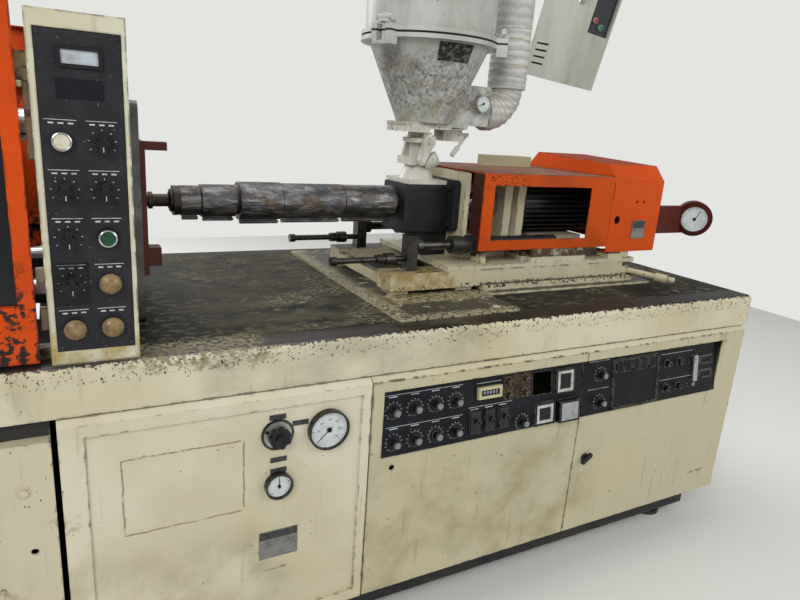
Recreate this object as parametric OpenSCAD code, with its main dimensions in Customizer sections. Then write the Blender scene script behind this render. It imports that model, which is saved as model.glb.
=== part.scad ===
// Horizontal injection moulding machine with a hot-air hopper dryer.
// X runs from the clamp end to the injection end, Y away from the operator, Z up.
// The origin lies on the floor at the middle of the machine's box.

/* [Bed] */
// Length of the bed behind the clamp cylinder
clamp_tail_l = 260; // [200:10:420]
// Length of the bed from the nozzle face of the fixed platen to its injection end
inj_side_l = 1980; // [1940:10:2080]
// Width over the two side beams
bed_w = 1040; // [1010:10:1050]
// Height of the deck above the floor
deck_z = 900; // [870:5:930]
// Height of a side beam
beam_h = 106; // [90:2:120]
// Width of a side beam
beam_w = 84; // [70:2:110]
// Thickness of the deck sheet between the beams
deck_t = 12; // [8:1:20]
// Radius of the worn upper edges of the beams
edge_r = 14; // [6:1:20]
// Thickness of the bed's cross ribs
rib_t = 20; // [12:2:30]
// Length of the opening that the mouldings drop through
chute_l = 430; // [400:10:440]
// Width of that opening
chute_w = 360; // [300:10:370]

/* [Plinth and feet] */
// Height of the plinth's underside above the floor
plinth_z0 = 40; // [30:1:60]
// Height of the plinth's top above the floor
plinth_z1 = 150; // [130:5:170]
// How far the plinth stands back from the cabinets
plinth_back = 80; // [60:5:120]
// Radius of a levelling pad
foot_r = 55; // [40:1:60]
// Thickness of a levelling pad
foot_t = 15; // [10:1:20]
// Radius of a levelling screw
foot_screw_r = 12; // [8:1:16]
// Feet along each side
feet_n = 4; // [3:1:5]

/* [Cabinets] */
// Depth over the front and rear panels
cabinet_d = 1064; // [1050:2:1080]
// Width of the hydraulic cabinet
hyd_w = 689; // [660:1:700]
// Gap between two cabinets
cabinet_gap = 3; // [2:1:6]
// Gap between the cabinets and the beam above
beam_gap = 4; // [2:1:8]
// Wall of the cabinets
wall = 4; // [2:0.5:6]
// Height and depth of the bevel along the cabinets' top edge
bevel = 13; // [8:1:20]
// Border of the hydraulic cabinet's recessed panel
recess_border = 46; // [30:1:60]
// Depth of that recess
recess_t = 6; // [3:1:10]
// Thickness of a cabinet door
door_t = 28; // [20:1:35]
// Gap between the two control cabinet doors
door_gap = 5; // [3:1:8]
// Share of the control cabinet's width that the left door takes
door_split = 0.49; // [0.48:0.005:0.5]
// Thickness of a clamp base panel
base_panel_t = 30; // [20:1:35]
// Height of the dark recess above the clamp base panels
base_recess_h = 40; // [30:1:60]

/* [Instruments] */
// Height of an instrument plate
plate_h = 184; // [180:1:188]
// How far an instrument plate's top leans back
plate_lean = 25; // [20:1:26]
// Thickness of an instrument plate
plate_t = 4; // [3:0.5:5]
// How far the plate's lower edge stands out of the door
plate_proud = 4; // [2:0.5:5]
// Radius of the dial ring round a small knob
pot_ring_r = 21; // [18:0.5:23]
// Radius of a small knob
pot_r = 11; // [9:0.5:13]
// Length of a small knob
pot_l = 22; // [15:1:26]
// Distance from knob to knob along a row
pot_pitch = 64; // [60:0.5:66]
// Distance between the two rows of small knobs
pot_rows = 86; // [82:1:90]
// Radius of the large pressure gauge
gauge_big_r = 52; // [48:1:56]
// Radius of the small pressure gauge
gauge_small_r = 34; // [30:1:38]
// How far a pressure gauge stands out of the panel
gauge_h = 16; // [10:1:20]
// Radius of the handwheel
wheel_r = 26; // [22:1:30]
// Lobes of the handwheel
wheel_lobes = 7; // [5:1:8]

/* [Control column] */
// Width of the control column
column_w = 160; // [150:1:170]
// Depth of the control column
column_d = 150; // [130:5:180]
// Height of the control column above the deck
column_h = 649; // [630:1:700]
// Wall of the control column
column_wall = 4; // [3:0.5:6]
// Radius of a selector's base
selector_r = 19; // [16:0.5:20]
// How far a selector stands out
selector_h = 24; // [18:1:28]
// Radius of a mushroom button
mushroom_r = 20; // [16:0.5:22]
// Radius of a push button's cap
cap_r = 13; // [10:0.5:14]
// Radius of the bezel round a push button
bezel_r = 19.5; // [16:0.5:21]
// Travel of a push button
button_travel = 5; // [3:0.5:6]
// Distance between the two columns of switches
switch_dx = 67; // [60:1:72]
// Distance between the rows of switches
switch_dz = 89; // [85:1:92]

/* [Clamp unit] */
// Height of the machine's axis above the deck
axis_h = 257; // [250:1:265]
// Thickness of the fixed platen
fixed_platen_t = 155; // [140:5:170]
// Thickness of the moving platen
moving_platen_t = 150; // [130:5:160]
// Thickness of the end platen
end_platen_t = 180; // [160:5:200]
// Width of the platens
platen_w = 540; // [530:5:580]
// Distance between fixed and moving platen when open
daylight = 515; // [505:5:550]
// Distance between moving and end platen when open
ram_gap = 420; // [400:5:450]
// Radius of a tie bar
tie_r = 30; // [26:1:33]
// Distance between tie bars across the machine
tie_dy = 380; // [370:2:390]
// Distance between tie bars in height
tie_dz = 370; // [364:2:376]
// Radius of a tie bar nut
tie_nut_r = 44; // [40:1:46]
// Length of a tie bar nut
tie_nut_l = 58; // [40:1:60]
// Radius of the clamp ram
ram_r = 100; // [80:5:110]
// Radius of the clamp cylinder
clamp_cyl_r = 180; // [160:5:190]
// Length of the clamp cylinder
clamp_cyl_l = 520; // [500:10:540]
// Radius of the bore for a mould's locating ring
locating_r = 50; // [45:1:60]
// Distance between the mould clamping holes
clamp_hole_d = 280; // [260:5:290]
// Radius of a mould clamping hole
clamp_hole_r = 8; // [6:1:10]
// Running clearance of a sliding shaft in its bore
run_clear = 0.05; // [0.03:0.01:0.1]

/* [Guards] */
// Height of the guards above the floor
guard_top = 1600; // [1580:5:1640]
// Width of the clamp guard
guard_w = 840; // [800:10:850]
// Thickness of guard sheet
sheet_t = 3; // [2:0.5:4]
// Width of a safety door
safety_w = 800; // [790:5:820]
// Thickness of a safety door
safety_t = 28; // [22:1:30]
// Width of the door frame beside its window
stile_w = 29; // [24:1:36]
// Height of the safety door's window
pane_h = 366; // [340:2:380]
// Height of the window's lower edge above the deck
pane_z = 122; // [100:2:140]

/* [Injection unit] */
// Radius of the barrel
barrel_r = 38; // [34:1:38]
// Radius of the screw
screw_r = 19.6; // [18:0.1:19.7]
// Clearance between screw and barrel
screw_clear = 0.4; // [0.3:0.05:0.6]
// Pitch of the screw's flight
screw_pitch = 44; // [36:1:50]
// Length of the feed block
feed_l = 151; // [140:1:155]
// Width of the feed block
feed_w = 150; // [140:2:160]
// Height of the feed block's top above the machine's axis
feed_top = 64; // [60:1:68]
// Width of the injection carriage
sled_w = 464; // [458:2:470]
// Thickness of the injection carriage's plate
sled_t = 15; // [12:1:18]
// Height of the rails under the carriage above the deck
rail_h = 73; // [68:1:76]
// Travel of the injection carriage
carriage_stroke = 250; // [200:10:260]
// Travel of the injection ram
inject_stroke = 100; // [80:5:105]
// Radius of the injection ram
inj_ram_r = 63; // [58:1:65]
// Radius of the drive motor over its fins
motor_r = 105; // [98:1:108]
// Fins on each side of the drive motor
fins_n = 11; // [8:1:12]

/* [Covers] */
// Length of the side cover
cover_l = 550; // [540:5:560]
// Height of the side cover
cover_h = 242; // [236:2:250]
// Length of the rear hood
hood_l = 243; // [230:1:260]
// Height of the rear hood
hood_h = 320; // [310:2:330]
// Length of the side cover's window
cover_win_l = 403; // [380:1:420]
// Height of the side cover's window
cover_win_h = 171; // [160:1:175]

/* [Hopper dryer] */
// Radius of the hopper's drum
drum_r = 200; // [190:1:205]
// Height of the drum
drum_h = 400; // [380:5:440]
// Height of the cone
cone_h = 228; // [220:1:236]
// Radius of the cone's lower end
cone_r = 88; // [80:1:92]
// Thickness of the hopper's sheet
hopper_t = 4; // [2:0.5:5]
// Radius of the throat that the pellets fall through
throat_r = 22; // [18:1:26]
// Radius of the wrapped hot-air pipe
pipe_r = 64; // [58:1:66]
// Tilt of the dryer's switch box, as it hangs
box_tilt = 10.5; // [6:0.5:12]

/* [Hidden] */

$fn = 48;
cream = "#d6cdaf";
orange = "#d9560f";
dark = "#26262a";
steel = "#8d8f90";
chrome = "#c9cccf";
seat = 0.3;
seam = 0.3;
eps = 0.01;

// Stations along the machine.
nose_x = 90;
bed_x1 = nose_x + inj_side_l;
fixed_x0 = nose_x - fixed_platen_t;
moving_x1 = fixed_x0 - daylight;
moving_x0 = moving_x1 - moving_platen_t;
end_x1 = moving_x0 - ram_gap;
end_x0 = end_x1 - end_platen_t;
clamp_x0 = end_x0 - clamp_cyl_l - 40;
bed_x0 = clamp_x0 - clamp_tail_l;
column_x1 = nose_x - 40;
column_x0 = column_x1 - column_w;
column_x = (column_x0 + column_x1) / 2;
hyd_x0 = column_x0 - 2;
hyd_x1 = hyd_x0 + hyd_w;
ctl_x0 = hyd_x1 + cabinet_gap;
ctl_x1 = bed_x1 - 15;
base_x1 = hyd_x0 - 12;
split_x = ctl_x0 + (ctl_x1 - ctl_x0) * door_split;
chute_x1 = base_x1 - 12;
chute_x0 = chute_x1 - chute_l;

// Stations across and up.
bed_y = bed_w / 2;
cab_y = cabinet_d / 2;
beam_z0 = deck_z - beam_h;
cab_z1 = beam_z0 - beam_gap;
door_z1 = cab_z1 - bevel - 1;
axis_z = deck_z + axis_h;

// Basic solids between two corners, and cylinders along an axis.
module box(a, b) translate(a) cube(b - a);
module bar_x(r, x0, x1, y = 0, z = 0) translate([x0, y, z]) rotate([0, 90, 0])
    cylinder(r = r, h = x1 - x0);
module bar_y(r, y0, y1, x = 0, z = 0) translate([x, y0, z]) rotate([-90, 0, 0])
    cylinder(r = r, h = y1 - y0);
module bar_z(r, z0, z1, x = 0, y = 0) translate([x, y, z0]) cylinder(r = r, h = z1 - z0);
module along_x(x0, x1) translate([x0, 0, 0]) rotate([90, 0, 90]) linear_extrude(x1 - x0) children();
module along_y(y0, y1) translate([0, y1, 0]) rotate([90, 0, 0]) linear_extrude(y1 - y0) children();
module both_sides() {
    children();
    mirror([0, 1, 0]) children();
}
module round_rect(a, b, r) {
    translate([a[0] + r, a[1]]) square([b[0] - a[0] - 2 * r, b[1] - a[1]]);
    translate([a[0], a[1] + r]) square([b[0] - a[0], b[1] - a[1] - 2 * r]);
    for (x = [a[0] + r, b[0] - r], y = [a[1] + r, b[1] - r]) translate([x, y]) circle(r);
}
module hex_head(r, h) cylinder(r = r, h = h, $fn = 6);

// Plinth on levelling feet: a closed box with a way through for the mouldings' bin.
foot_y = cab_y - plinth_back - 70;
plinth_x0 = bed_x0 + 30;
plinth_x1 = ctl_x1 - 40;
module plinth() color(dark) {
    box([plinth_x0, plinth_back - cab_y, plinth_z0], [plinth_x1, cab_y - plinth_back, plinth_z1]);
    for (i = [0 : feet_n - 1], side = [-1, 1])
        translate([plinth_x0 + 120 + i * (plinth_x1 - plinth_x0 - 240) / (feet_n - 1), side * foot_y, 0]) {
            cylinder(r = foot_r, h = foot_t);
            translate([0, 0, foot_t - 1]) cylinder(r = foot_screw_r, h = plinth_z0 - foot_t + 2);
            translate([0, 0, foot_t]) hex_head(foot_screw_r * 1.8, 12);
        }
}

// Bed: two side beams with rounded edges, cross ribs and deck sheets, welded along their seams.
module beam_section() {
    translate([-bed_y, beam_z0]) square([beam_w, beam_h - edge_r]);
    translate([edge_r - bed_y, beam_z0]) square([beam_w - edge_r, beam_h]);
    translate([edge_r - bed_y, deck_z - edge_r]) circle(edge_r);
}
rib_x = [bed_x0, end_x0 - rib_t, end_x1, chute_x0 - rib_t, chute_x1, nose_x + 20, split_x,
    bed_x1 - rib_t];
deck_y = bed_y - beam_w - seam;
module bed() color(cream) {
    both_sides() {
        along_x(bed_x0, bed_x1) beam_section();
        box([chute_x0 + seam, chute_w / 2, deck_z - deck_t], [chute_x1 - seam, deck_y, deck_z]);
    }
    for (x = rib_x)
        box([x, -deck_y, beam_z0], [x + rib_t, deck_y, deck_z - deck_t - seam]);
    for (x = [[bed_x0, chute_x0], [chute_x1, bed_x1]])
        box([x[0], -deck_y, deck_z - deck_t], [x[1], deck_y, deck_z]);
}

// Housing under the clamp unit, with the duct that leads mouldings out at the back.
base_y = cab_y - base_panel_t;
duct_z0 = plinth_z1 + 150;
duct_y0 = -chute_w / 2 - 20;
module clamp_base() color(dark) {
    x = [bed_x0 + 10, base_x1];
    duct_x = [chute_x0 - wall, chute_x1 + wall];
    y_in = base_y - wall;
    top_z = beam_z0 - wall;
    box([x[0], -base_y, plinth_z1], [x[1], -y_in, beam_z0]);
    for (end = [x[0], x[1] - wall])
        box([end, seam - y_in, plinth_z1], [end + wall, y_in - seam, beam_z0]);
    for (span = [[x[0], duct_x[0] - seam], [duct_x[1] + seam, x[1]]])
        box([span[0], y_in, plinth_z1], [span[1], base_y, beam_z0]);
    box([duct_x[0], y_in, plinth_z1], [duct_x[1], base_y, duct_z0 - wall - seam]);
    for (span = [[x[0] + wall, duct_x[0]], [duct_x[1], x[1] - wall]])
        box([span[0] + seam, seam - y_in, top_z], [span[1] - seam, y_in - seam, beam_z0]);
    box([duct_x[0], seam - y_in, top_z], [duct_x[1], duct_y0 - wall - seam, beam_z0]);
    box([duct_x[0], duct_y0 - wall, duct_z0 - wall], [duct_x[1], base_y, duct_z0]);
    for (side = [duct_x[0], chute_x1])
        box([side, duct_y0 - wall, duct_z0 + seam], [side + wall, base_y, beam_z0]);
    box([chute_x0 + seam, duct_y0 - wall, duct_z0 + seam], [chute_x1 - seam, duct_y0, beam_z0]);
}

// Removable front panels of the clamp base, each with a bow handle.
panels_n = 3;
base_panel_w = (base_x1 - bed_x0 - 10 - (panels_n - 1) * cabinet_gap) / panels_n;
panel_z1 = beam_z0 - base_recess_h;
module base_panel(x1) {
    x0 = x1 - base_panel_w;
    y1 = base_panel_t - cab_y;
    grip_x = x1 - 105;
    grip_z = plinth_z1 + 287;
    difference() {
        box([x0, -cab_y, plinth_z1 + 6], [x1, y1, panel_z1]);
        box([x0 + wall, wall - cab_y, plinth_z1 + 6 + wall], [x1 - wall, y1 + 1, panel_z1 - wall]);
        bar_y(7, -cab_y - 1, wall - cab_y + 1, x1 - 44, plinth_z1 + 364);
    }
    translate([x1 - 54, -cab_y, plinth_z1 + 503]) rotate([90, 0, 0]) hex_head(9, 6);
    translate([x1 - 54, -cab_y + eps, plinth_z1 + 503]) rotate([90, 0, 0]) cylinder(r = 13, h = 1.5);
    for (x = [grip_x - 110, grip_x]) bar_y(5, -cab_y - 34, eps - cab_y, x, grip_z);
    bar_x(5, grip_x - 115, grip_x + 5, -cab_y - 34, grip_z);
}
module clamp_base_panels() color(cream) for (i = [0 : panels_n - 1])
    base_panel(base_x1 - i * (base_panel_w + cabinet_gap));

// Hydraulic cabinet: folded sheet with a bevelled top edge and a recessed front.
module cabinet_section() polygon([[-cab_y, plinth_z1], [-cab_y, cab_z1 - bevel],
    [bevel - cab_y, cab_z1], [cab_y - bevel, cab_z1], [cab_y, cab_z1 - bevel], [cab_y, plinth_z1]]);
front_t = wall + recess_t;
recess_x0 = hyd_x0 + recess_border;
recess_x1 = hyd_x1 - recess_border / 2;
recess_z1 = cab_z1 - 40;
wheel_x = recess_x1 - 216;
wheel_z = recess_z1 - 69;
module hydraulic_cabinet() color(cream) difference() {
    along_x(hyd_x0, hyd_x1) cabinet_section();
    box([hyd_x0 + wall, front_t - cab_y, plinth_z1 - 1],
        [hyd_x1 - wall, cab_y - wall, cab_z1 - bevel - wall]);
    box([recess_x0, -cab_y - 1, plinth_z1 + 30], [recess_x1, recess_t - cab_y, recess_z1]);
    bar_y(6.4, -cab_y - 1, front_t - cab_y + 1, wheel_x, wheel_z);
}

// Oil tank with its cover plate, and the pump on the motor's flange.
module hydraulic_unit() color(steel) {
    x0 = hyd_x0 + wall + 20;
    x1 = hyd_x1 - wall - 20;
    tank_z = plinth_z1 + 300;
    shaft_z = tank_z + 145;
    box([x0, -400, plinth_z1], [x1, 440, tank_z]);
    box([x0 - 8, -408, tank_z], [x1 + 8, 448, tank_z + 12]);
    for (y = [-20, 220]) box([x0 + 160, y, tank_z + 12], [x1 - 160, y + 40, shaft_z - 60]);
    bar_y(108, -40, 280, (x0 + x1) / 2, shaft_z);
    bar_y(124, -58, -40, (x0 + x1) / 2, shaft_z);
    bar_y(62, -210, -58, (x0 + x1) / 2, shaft_z);
    bar_y(112, 280, 340, (x0 + x1) / 2, shaft_z);
}

// Control cabinet: an open-fronted carcass with a bevelled top rail and a middle post.
carcass_y = cab_y - door_t - seat;
module control_cabinet() color(cream) difference() {
    along_x(ctl_x0, ctl_x1) cabinet_section();
    box([ctl_x0 - 1, -cab_y - 1, plinth_z1 - 1], [ctl_x1 + 1, -carcass_y, door_z1 + 1]);
    for (c = [[ctl_x0 + wall, split_x - 14], [split_x + 14, ctl_x1 - wall]])
        box([c[0], -carcass_y - 1, plinth_z1 + wall], [c[1], cab_y - wall, door_z1 - wall]);
    box([split_x - 20, 40 - carcass_y, plinth_z1 + wall], [split_x + 20, cab_y - wall, door_z1 - wall]);
}

// Mounting plate with contactors, relays and terminal rows behind the doors.
module control_gear() color("#4a4c4e") {
    y1 = cab_y - wall;
    y0 = y1 - 24;
    box([ctl_x0 + 60, y0, plinth_z1 + 60], [ctl_x1 - 60, y1, door_z1 - 60]);
    for (row = [0 : 2], i = [0 : 12])
        translate([ctl_x0 + 130 + i * 95, y0 - 70, plinth_z1 + 120 + row * 160])
            cube([62, 70 + eps, 78]);
    for (row = [0 : 2])
        box([ctl_x0 + 110, y0 - 40, plinth_z1 + 220 + row * 160],
            [ctl_x1 - 110, y0 + eps, plinth_z1 + 250 + row * 160]);
}

// Doors of the control cabinet: pans with an opening for the leaning instrument plate.
plate_z0 = door_z1 - 27 - plate_h;
left_door_x1 = split_x - door_gap / 2;
right_door_x0 = split_x + door_gap / 2;
left_plate_x = [ctl_x0 + 33, left_door_x1];
right_plate_x = [right_door_x0, ctl_x1 - 113];
module door_pan(x0, x1, opening) difference() {
    box([x0, -cab_y, plinth_z1 + 2], [x1, door_t - cab_y, door_z1]);
    box([x0 + wall, wall - cab_y, plinth_z1 + 2 + wall], [x1 - wall, door_t - cab_y + 1, door_z1 - wall]);
    box([opening[0], -cab_y - 1, plate_z0], [opening[1], door_t - cab_y + 1, plate_z0 + plate_h]);
}
module left_control_door() color(cream) difference() {
    door_pan(ctl_x0 + 2, left_door_x1, left_plate_x + [0, 1]);
    bar_y(8, -cab_y - 1, wall - cab_y + 1, ctl_x0 + 68, plate_z0 - 36);
}
module right_control_door() color(cream) {
    lock_z = plate_z0 - 150;
    door_pan(right_door_x0, ctl_x1 - 2, right_plate_x - [1, 0]);
    bar_y(13, -cab_y - 9, eps - cab_y, right_door_x0 + 46, lock_z);
    translate([right_door_x0 + 46, eps - cab_y - 9, lock_z]) rotate([90, -35, 0])
        linear_extrude(7) round_rect([-24, -8], [24, 8], 7.9);
}

// Leaning instrument plates with folded side cheeks, and the parts that sit on them.
plate_l = norm([plate_h, plate_lean]);
module plate_shell(x) difference() {
    along_x(x[0], x[1]) polygon([[-cab_y - plate_proud, plate_z0],
        [plate_lean - cab_y - plate_proud, plate_z0 + plate_h],
        [door_t - cab_y, plate_z0 + plate_h], [door_t - cab_y, plate_z0]]);
    along_x(x[0] + 3, x[1] - 3) polygon([[plate_t - cab_y - plate_proud, plate_z0 + 3],
        [plate_lean + plate_t - 3 / plate_h * plate_lean - cab_y - plate_proud, plate_z0 + plate_h - 3],
        [door_t - cab_y + 1, plate_z0 + plate_h - 3], [door_t - cab_y + 1, plate_z0 + 3]]);
}
module on_plate() translate([0, -cab_y - plate_proud, plate_z0])
    rotate([-atan(plate_lean / plate_h), 0, 0]) children();
module small_knob(x, s, r, h) {
    bar_y(r, -h, eps, x, s);
    bar_y(r * 0.62, -h - 3, eps - h, x, s);
}
module pot(x, s) {
    bar_y(pot_ring_r, -2, eps, x, s);
    small_knob(x, s, pot_r, pot_l);
}
module rocker(x, s) {
    box([x - 15, -9, s - 30], [x + 15, eps, s + 30]);
    bar_y(8, -24, eps - 9, x, s + 6);
}
module framed(x, s, rim, depth) difference() {
    box([x[0], -depth, s[0]], [x[1], eps, s[1]]);
    box([x[0] + rim, -depth - 1, s[0] + rim], [x[1] - rim, -2, s[1] - rim]);
}
module left_instruments() color(dark) {
    x0 = left_plate_x[0];
    low = 36;
    difference() {
        plate_shell(left_plate_x);
        on_plate() box([x0 + 495, -1, 97], [x0 + 568, plate_t + 2, plate_l - 20]);
    }
    on_plate() {
        for (i = [0 : 3], row = [0, 1]) pot(x0 + 35 + i * pot_pitch, low + row * pot_rows);
        framed([x0 + 298, x0 + 377], [116, 149], 8, 10);
        for (i = [0, 1], row = [0, 1]) small_knob(x0 + 405 + i * 61, 112 + row * 42, 9, 16);
        for (i = [0 : 2]) rocker(x0 + 290 + i * 49, 50);
        pot(x0 + 458, 24);
        framed([x0 + 578, x0 + 651], [92, plate_l - 20], 11, 9);
        framed([x0 + 500, x0 + 578], [3, 72], 12, 9);
        box([x0 + 586, -22, 4], [x0 + 663, eps, 70]);
    }
}

// Right plate: two selectors, a sunk card window, four keys, a bar meter and two slots.
module right_instruments() color(dark) {
    x0 = right_plate_x[0] + wall;
    win = [x0 + 128, x0 + 326];
    difference() {
        plate_shell(right_plate_x);
        on_plate() box([win[0], -1, 8], [win[1], 2, plate_l - 22]);
    }
    on_plate() {
        framed([win[0] - 6, win[1] + 6], [3, plate_l - 17], 6, 5);
        for (i = [0 : 4])
            box([win[0] + 8 + i * 37, -4, plate_l - 62], [win[0] + 38 + i * 37, 2 + eps, plate_l - 24]);
        for (row = [0, 1]) pot(x0 + 69, 38 + row * 89);
        for (i = [0, 1], row = [0, 1]) small_knob(x0 + 375 + i * 62, 42 + row * 84, 10, 14);
        framed([x0 + 503, x0 + 526], [45, 143], 4, 5);
        for (row = [0, 1]) framed([x0 + 540, x0 + 604], [53 + row * 50, 82 + row * 50], 4, 5);
    }
}

// Two gauges on the hydraulic panel, each a ring with a dial and a fixed pointer.
module dial_gauge(r, rim) {
    difference() {
        cylinder(r = r, h = gauge_h);
        translate([0, 0, gauge_h - 6]) cylinder(r = r - rim, h = 7);
    }
    translate([0, 0, gauge_h - 6 - eps]) cylinder(r = r * 0.1, h = 4);
}
gauge_big_x = recess_x1 - 90;
gauge_big_z = wheel_z - 6;
gauge_small_z = wheel_z - 132;
module pressure_gauges() color(chrome) {
    y = recess_t - cab_y;
    translate([gauge_big_x, y, gauge_big_z]) rotate([90, 0, 0]) dial_gauge(gauge_big_r, 5);
    translate([wheel_x + 3, y, gauge_small_z]) rotate([90, 0, 0]) dial_gauge(gauge_small_r, 5);
    difference() {
        bar_y(39.5, y - 3, y, wheel_x, wheel_z);
        bar_y(6.4, y - 4, y + 1, wheel_x, wheel_z);
    }
}

// Lobed handwheel of the relief valve, on its spindle.
module handwheel() color(dark) translate([wheel_x, 0, wheel_z]) {
    y = recess_t - cab_y - 3;
    bar_y(6, y - 12, y + 30);
    translate([0, y - 8, 0]) rotate([90, 0, 0]) linear_extrude(18) difference() {
        circle(wheel_r);
        for (i = [0 : wheel_lobes - 1]) rotate(i * 360 / wheel_lobes)
            translate([wheel_r + 3, 0]) circle(wheel_r * 0.3);
    }
    bar_y(wheel_r * 0.45, y - 32, y - 26 + eps);
}

// Fixed platen: locating bore, nozzle funnel, clamping holes and counterbored tie bars.
module platen_block(x0, x1, z0) difference() {
    along_x(x0, x1) round_rect([-platen_w / 2, z0], [platen_w / 2, axis_z + tie_dz / 2 + 69], 18);
    for (y = [-1, 1] * tie_dy / 2, z = [-1, 1] * tie_dz / 2)
        bar_x(tie_r + run_clear, x0 - 1, x1 + 1, y, axis_z + z);
}
module clamp_holes(x, dir) for (y = [-1, 1] * clamp_hole_d / 2, z = [-1, 1] * clamp_hole_d / 2)
    bar_x(clamp_hole_r, min(x, x + dir * 40), max(x, x + dir * 40), y, axis_z + z);
module fixed_platen() color(steel) difference() {
    platen_block(fixed_x0, nose_x, deck_z);
    bar_x(locating_r, fixed_x0 - 1, fixed_x0 + 25, 0, axis_z);
    bar_x(24, fixed_x0, nose_x + 1, 0, axis_z);
    translate([fixed_x0 + 60, 0, axis_z]) rotate([0, 90, 0])
        cylinder(r1 = 24, r2 = 62, h = fixed_platen_t - 60 + eps);
    clamp_holes(fixed_x0 - eps, 1);
    for (y = [-1, 1] * tie_dy / 2, z = [-1, 1] * tie_dz / 2)
        bar_x(tie_nut_r + 2, nose_x - tie_nut_l - 2, nose_x + 1, y, axis_z + z);
}
module moving_platen() color(steel) difference() {
    union() {
        platen_block(moving_x0, moving_x1, deck_z + 24);
        both_sides()
            box([moving_x0 - 20, platen_w / 2 - 72, deck_z + seat], [moving_x1, platen_w / 2, deck_z + 26]);
    }
    bar_x(locating_r, moving_x1 - 20, moving_x1 + 1, 0, axis_z);
    clamp_holes(moving_x1 + eps, -1);
    for (y = [-1, 1]) bar_x(12 + run_clear, moving_x0 - 1, moving_x1 + 1, y * 125, axis_z);
    for (y = [-1, 1])
        bar_x(tie_r + run_clear, moving_x0 - 21, moving_x1 + 1, y * tie_dy / 2, axis_z - tie_dz / 2);
}
module end_platen() color(steel) difference() {
    platen_block(end_x0, end_x1, deck_z);
    bar_x(ram_r + run_clear, end_x0 - 1, end_x1 + 1, 0, axis_z);
}

// Four tie bars, each with a nut at both platens.
module tie_bars() color(chrome) for (y = [-1, 1] * tie_dy / 2, z = [-1, 1] * tie_dz / 2)
    translate([0, y, axis_z + z]) {
        bar_x(tie_r, end_x0 - tie_nut_l - 10, nose_x - 1);
        for (x = [end_x0 - tie_nut_l, nose_x - tie_nut_l - 2]) difference() {
            bar_x(tie_nut_r, x, x + tie_nut_l);
            bar_x(tie_r + seam, x - 1, x + tie_nut_l + 1);
        }
    }

// Clamp cylinder behind the end platen, and its ram, which carries the moving platen.
module clamp_cylinder() color(steel) difference() {
    union() {
        bar_x(clamp_cyl_r, end_x0 - clamp_cyl_l, end_x0, 0, axis_z);
        bar_x(clamp_cyl_r - 22, clamp_x0, end_x0 - clamp_cyl_l + eps, 0, axis_z);
        for (x = [end_x0 - clamp_cyl_l + 60, end_x0 - 140])
            box([x, -clamp_cyl_r * 0.8, deck_z], [x + 60, clamp_cyl_r * 0.8, axis_z]);
    }
    bar_x(ram_r + run_clear, end_x0 - clamp_cyl_l + 40, end_x0 + 1, 0, axis_z);
}
module clamp_ram() color(chrome) difference() {
    bar_x(ram_r, end_x0 - clamp_cyl_l + 50, moving_x0, 0, axis_z);
    bar_x(ram_r * 0.5, end_x0 - clamp_cyl_l + 49, moving_x0 - 60, 0, axis_z);
}

// Ejector: two rods through the moving platen on a ring plate round the ram.
module ejector() color(steel) {
    x = moving_x0 - 90;
    difference() {
        along_x(x, x + 22) round_rect([-165, axis_z - 118], [165, axis_z + 118], 14);
        bar_x(ram_r + 4, x - 1, x + 23, 0, axis_z);
    }
    for (y = [-125, 125]) bar_x(12, x + 22 - eps, moving_x1 - 4, y, axis_z);
}

// Folded guard over the clamp unit, open below and towards the mould.
module guard_section(w, z0, z1, cut) polygon([[-w, z0], [-w, z1 - cut], [cut * 0.4 - w, z1],
    [w - cut * 0.4, z1], [w, z1 - cut], [w, z0]]);
guard_x1 = column_x0 - 20 - safety_w - 5;
module clamp_guard() color(orange) difference() {
    along_x(bed_x0 + 10, guard_x1) guard_section(guard_w / 2, deck_z, guard_top, 65);
    along_x(bed_x0 + 10 + sheet_t, guard_x1 + 1)
        guard_section(guard_w / 2 - sheet_t, deck_z - 1, guard_top - sheet_t, 65);
}

// Rails that carry and guide the two safety doors.
rail_y0 = guard_w / 2 + 10;
rail_y1 = rail_y0 + 30;
rail_x0 = guard_x1 - safety_w * 0.8;
rail_z = guard_top - 120;
module rail_pair(x1) {
    box([rail_x0, -rail_y1, rail_z - 50], [x1, -rail_y0, rail_z]);
    for (x = [rail_x0 + 20, guard_x1 - 60])
        box([x, -rail_y0 - eps, rail_z - 50], [x + 40, -guard_w / 2, rail_z - 30]);
    box([rail_x0, -rail_y1, deck_z], [x1, -rail_y0, deck_z + 24]);
}
module door_rails() color(steel) {
    rail_pair(column_x0);
    mirror([0, 1, 0]) rail_pair(column_x0);
    box([column_x0, rail_y0, deck_z], [column_x0 + 50, rail_y1, guard_top - 60]);
}

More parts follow.
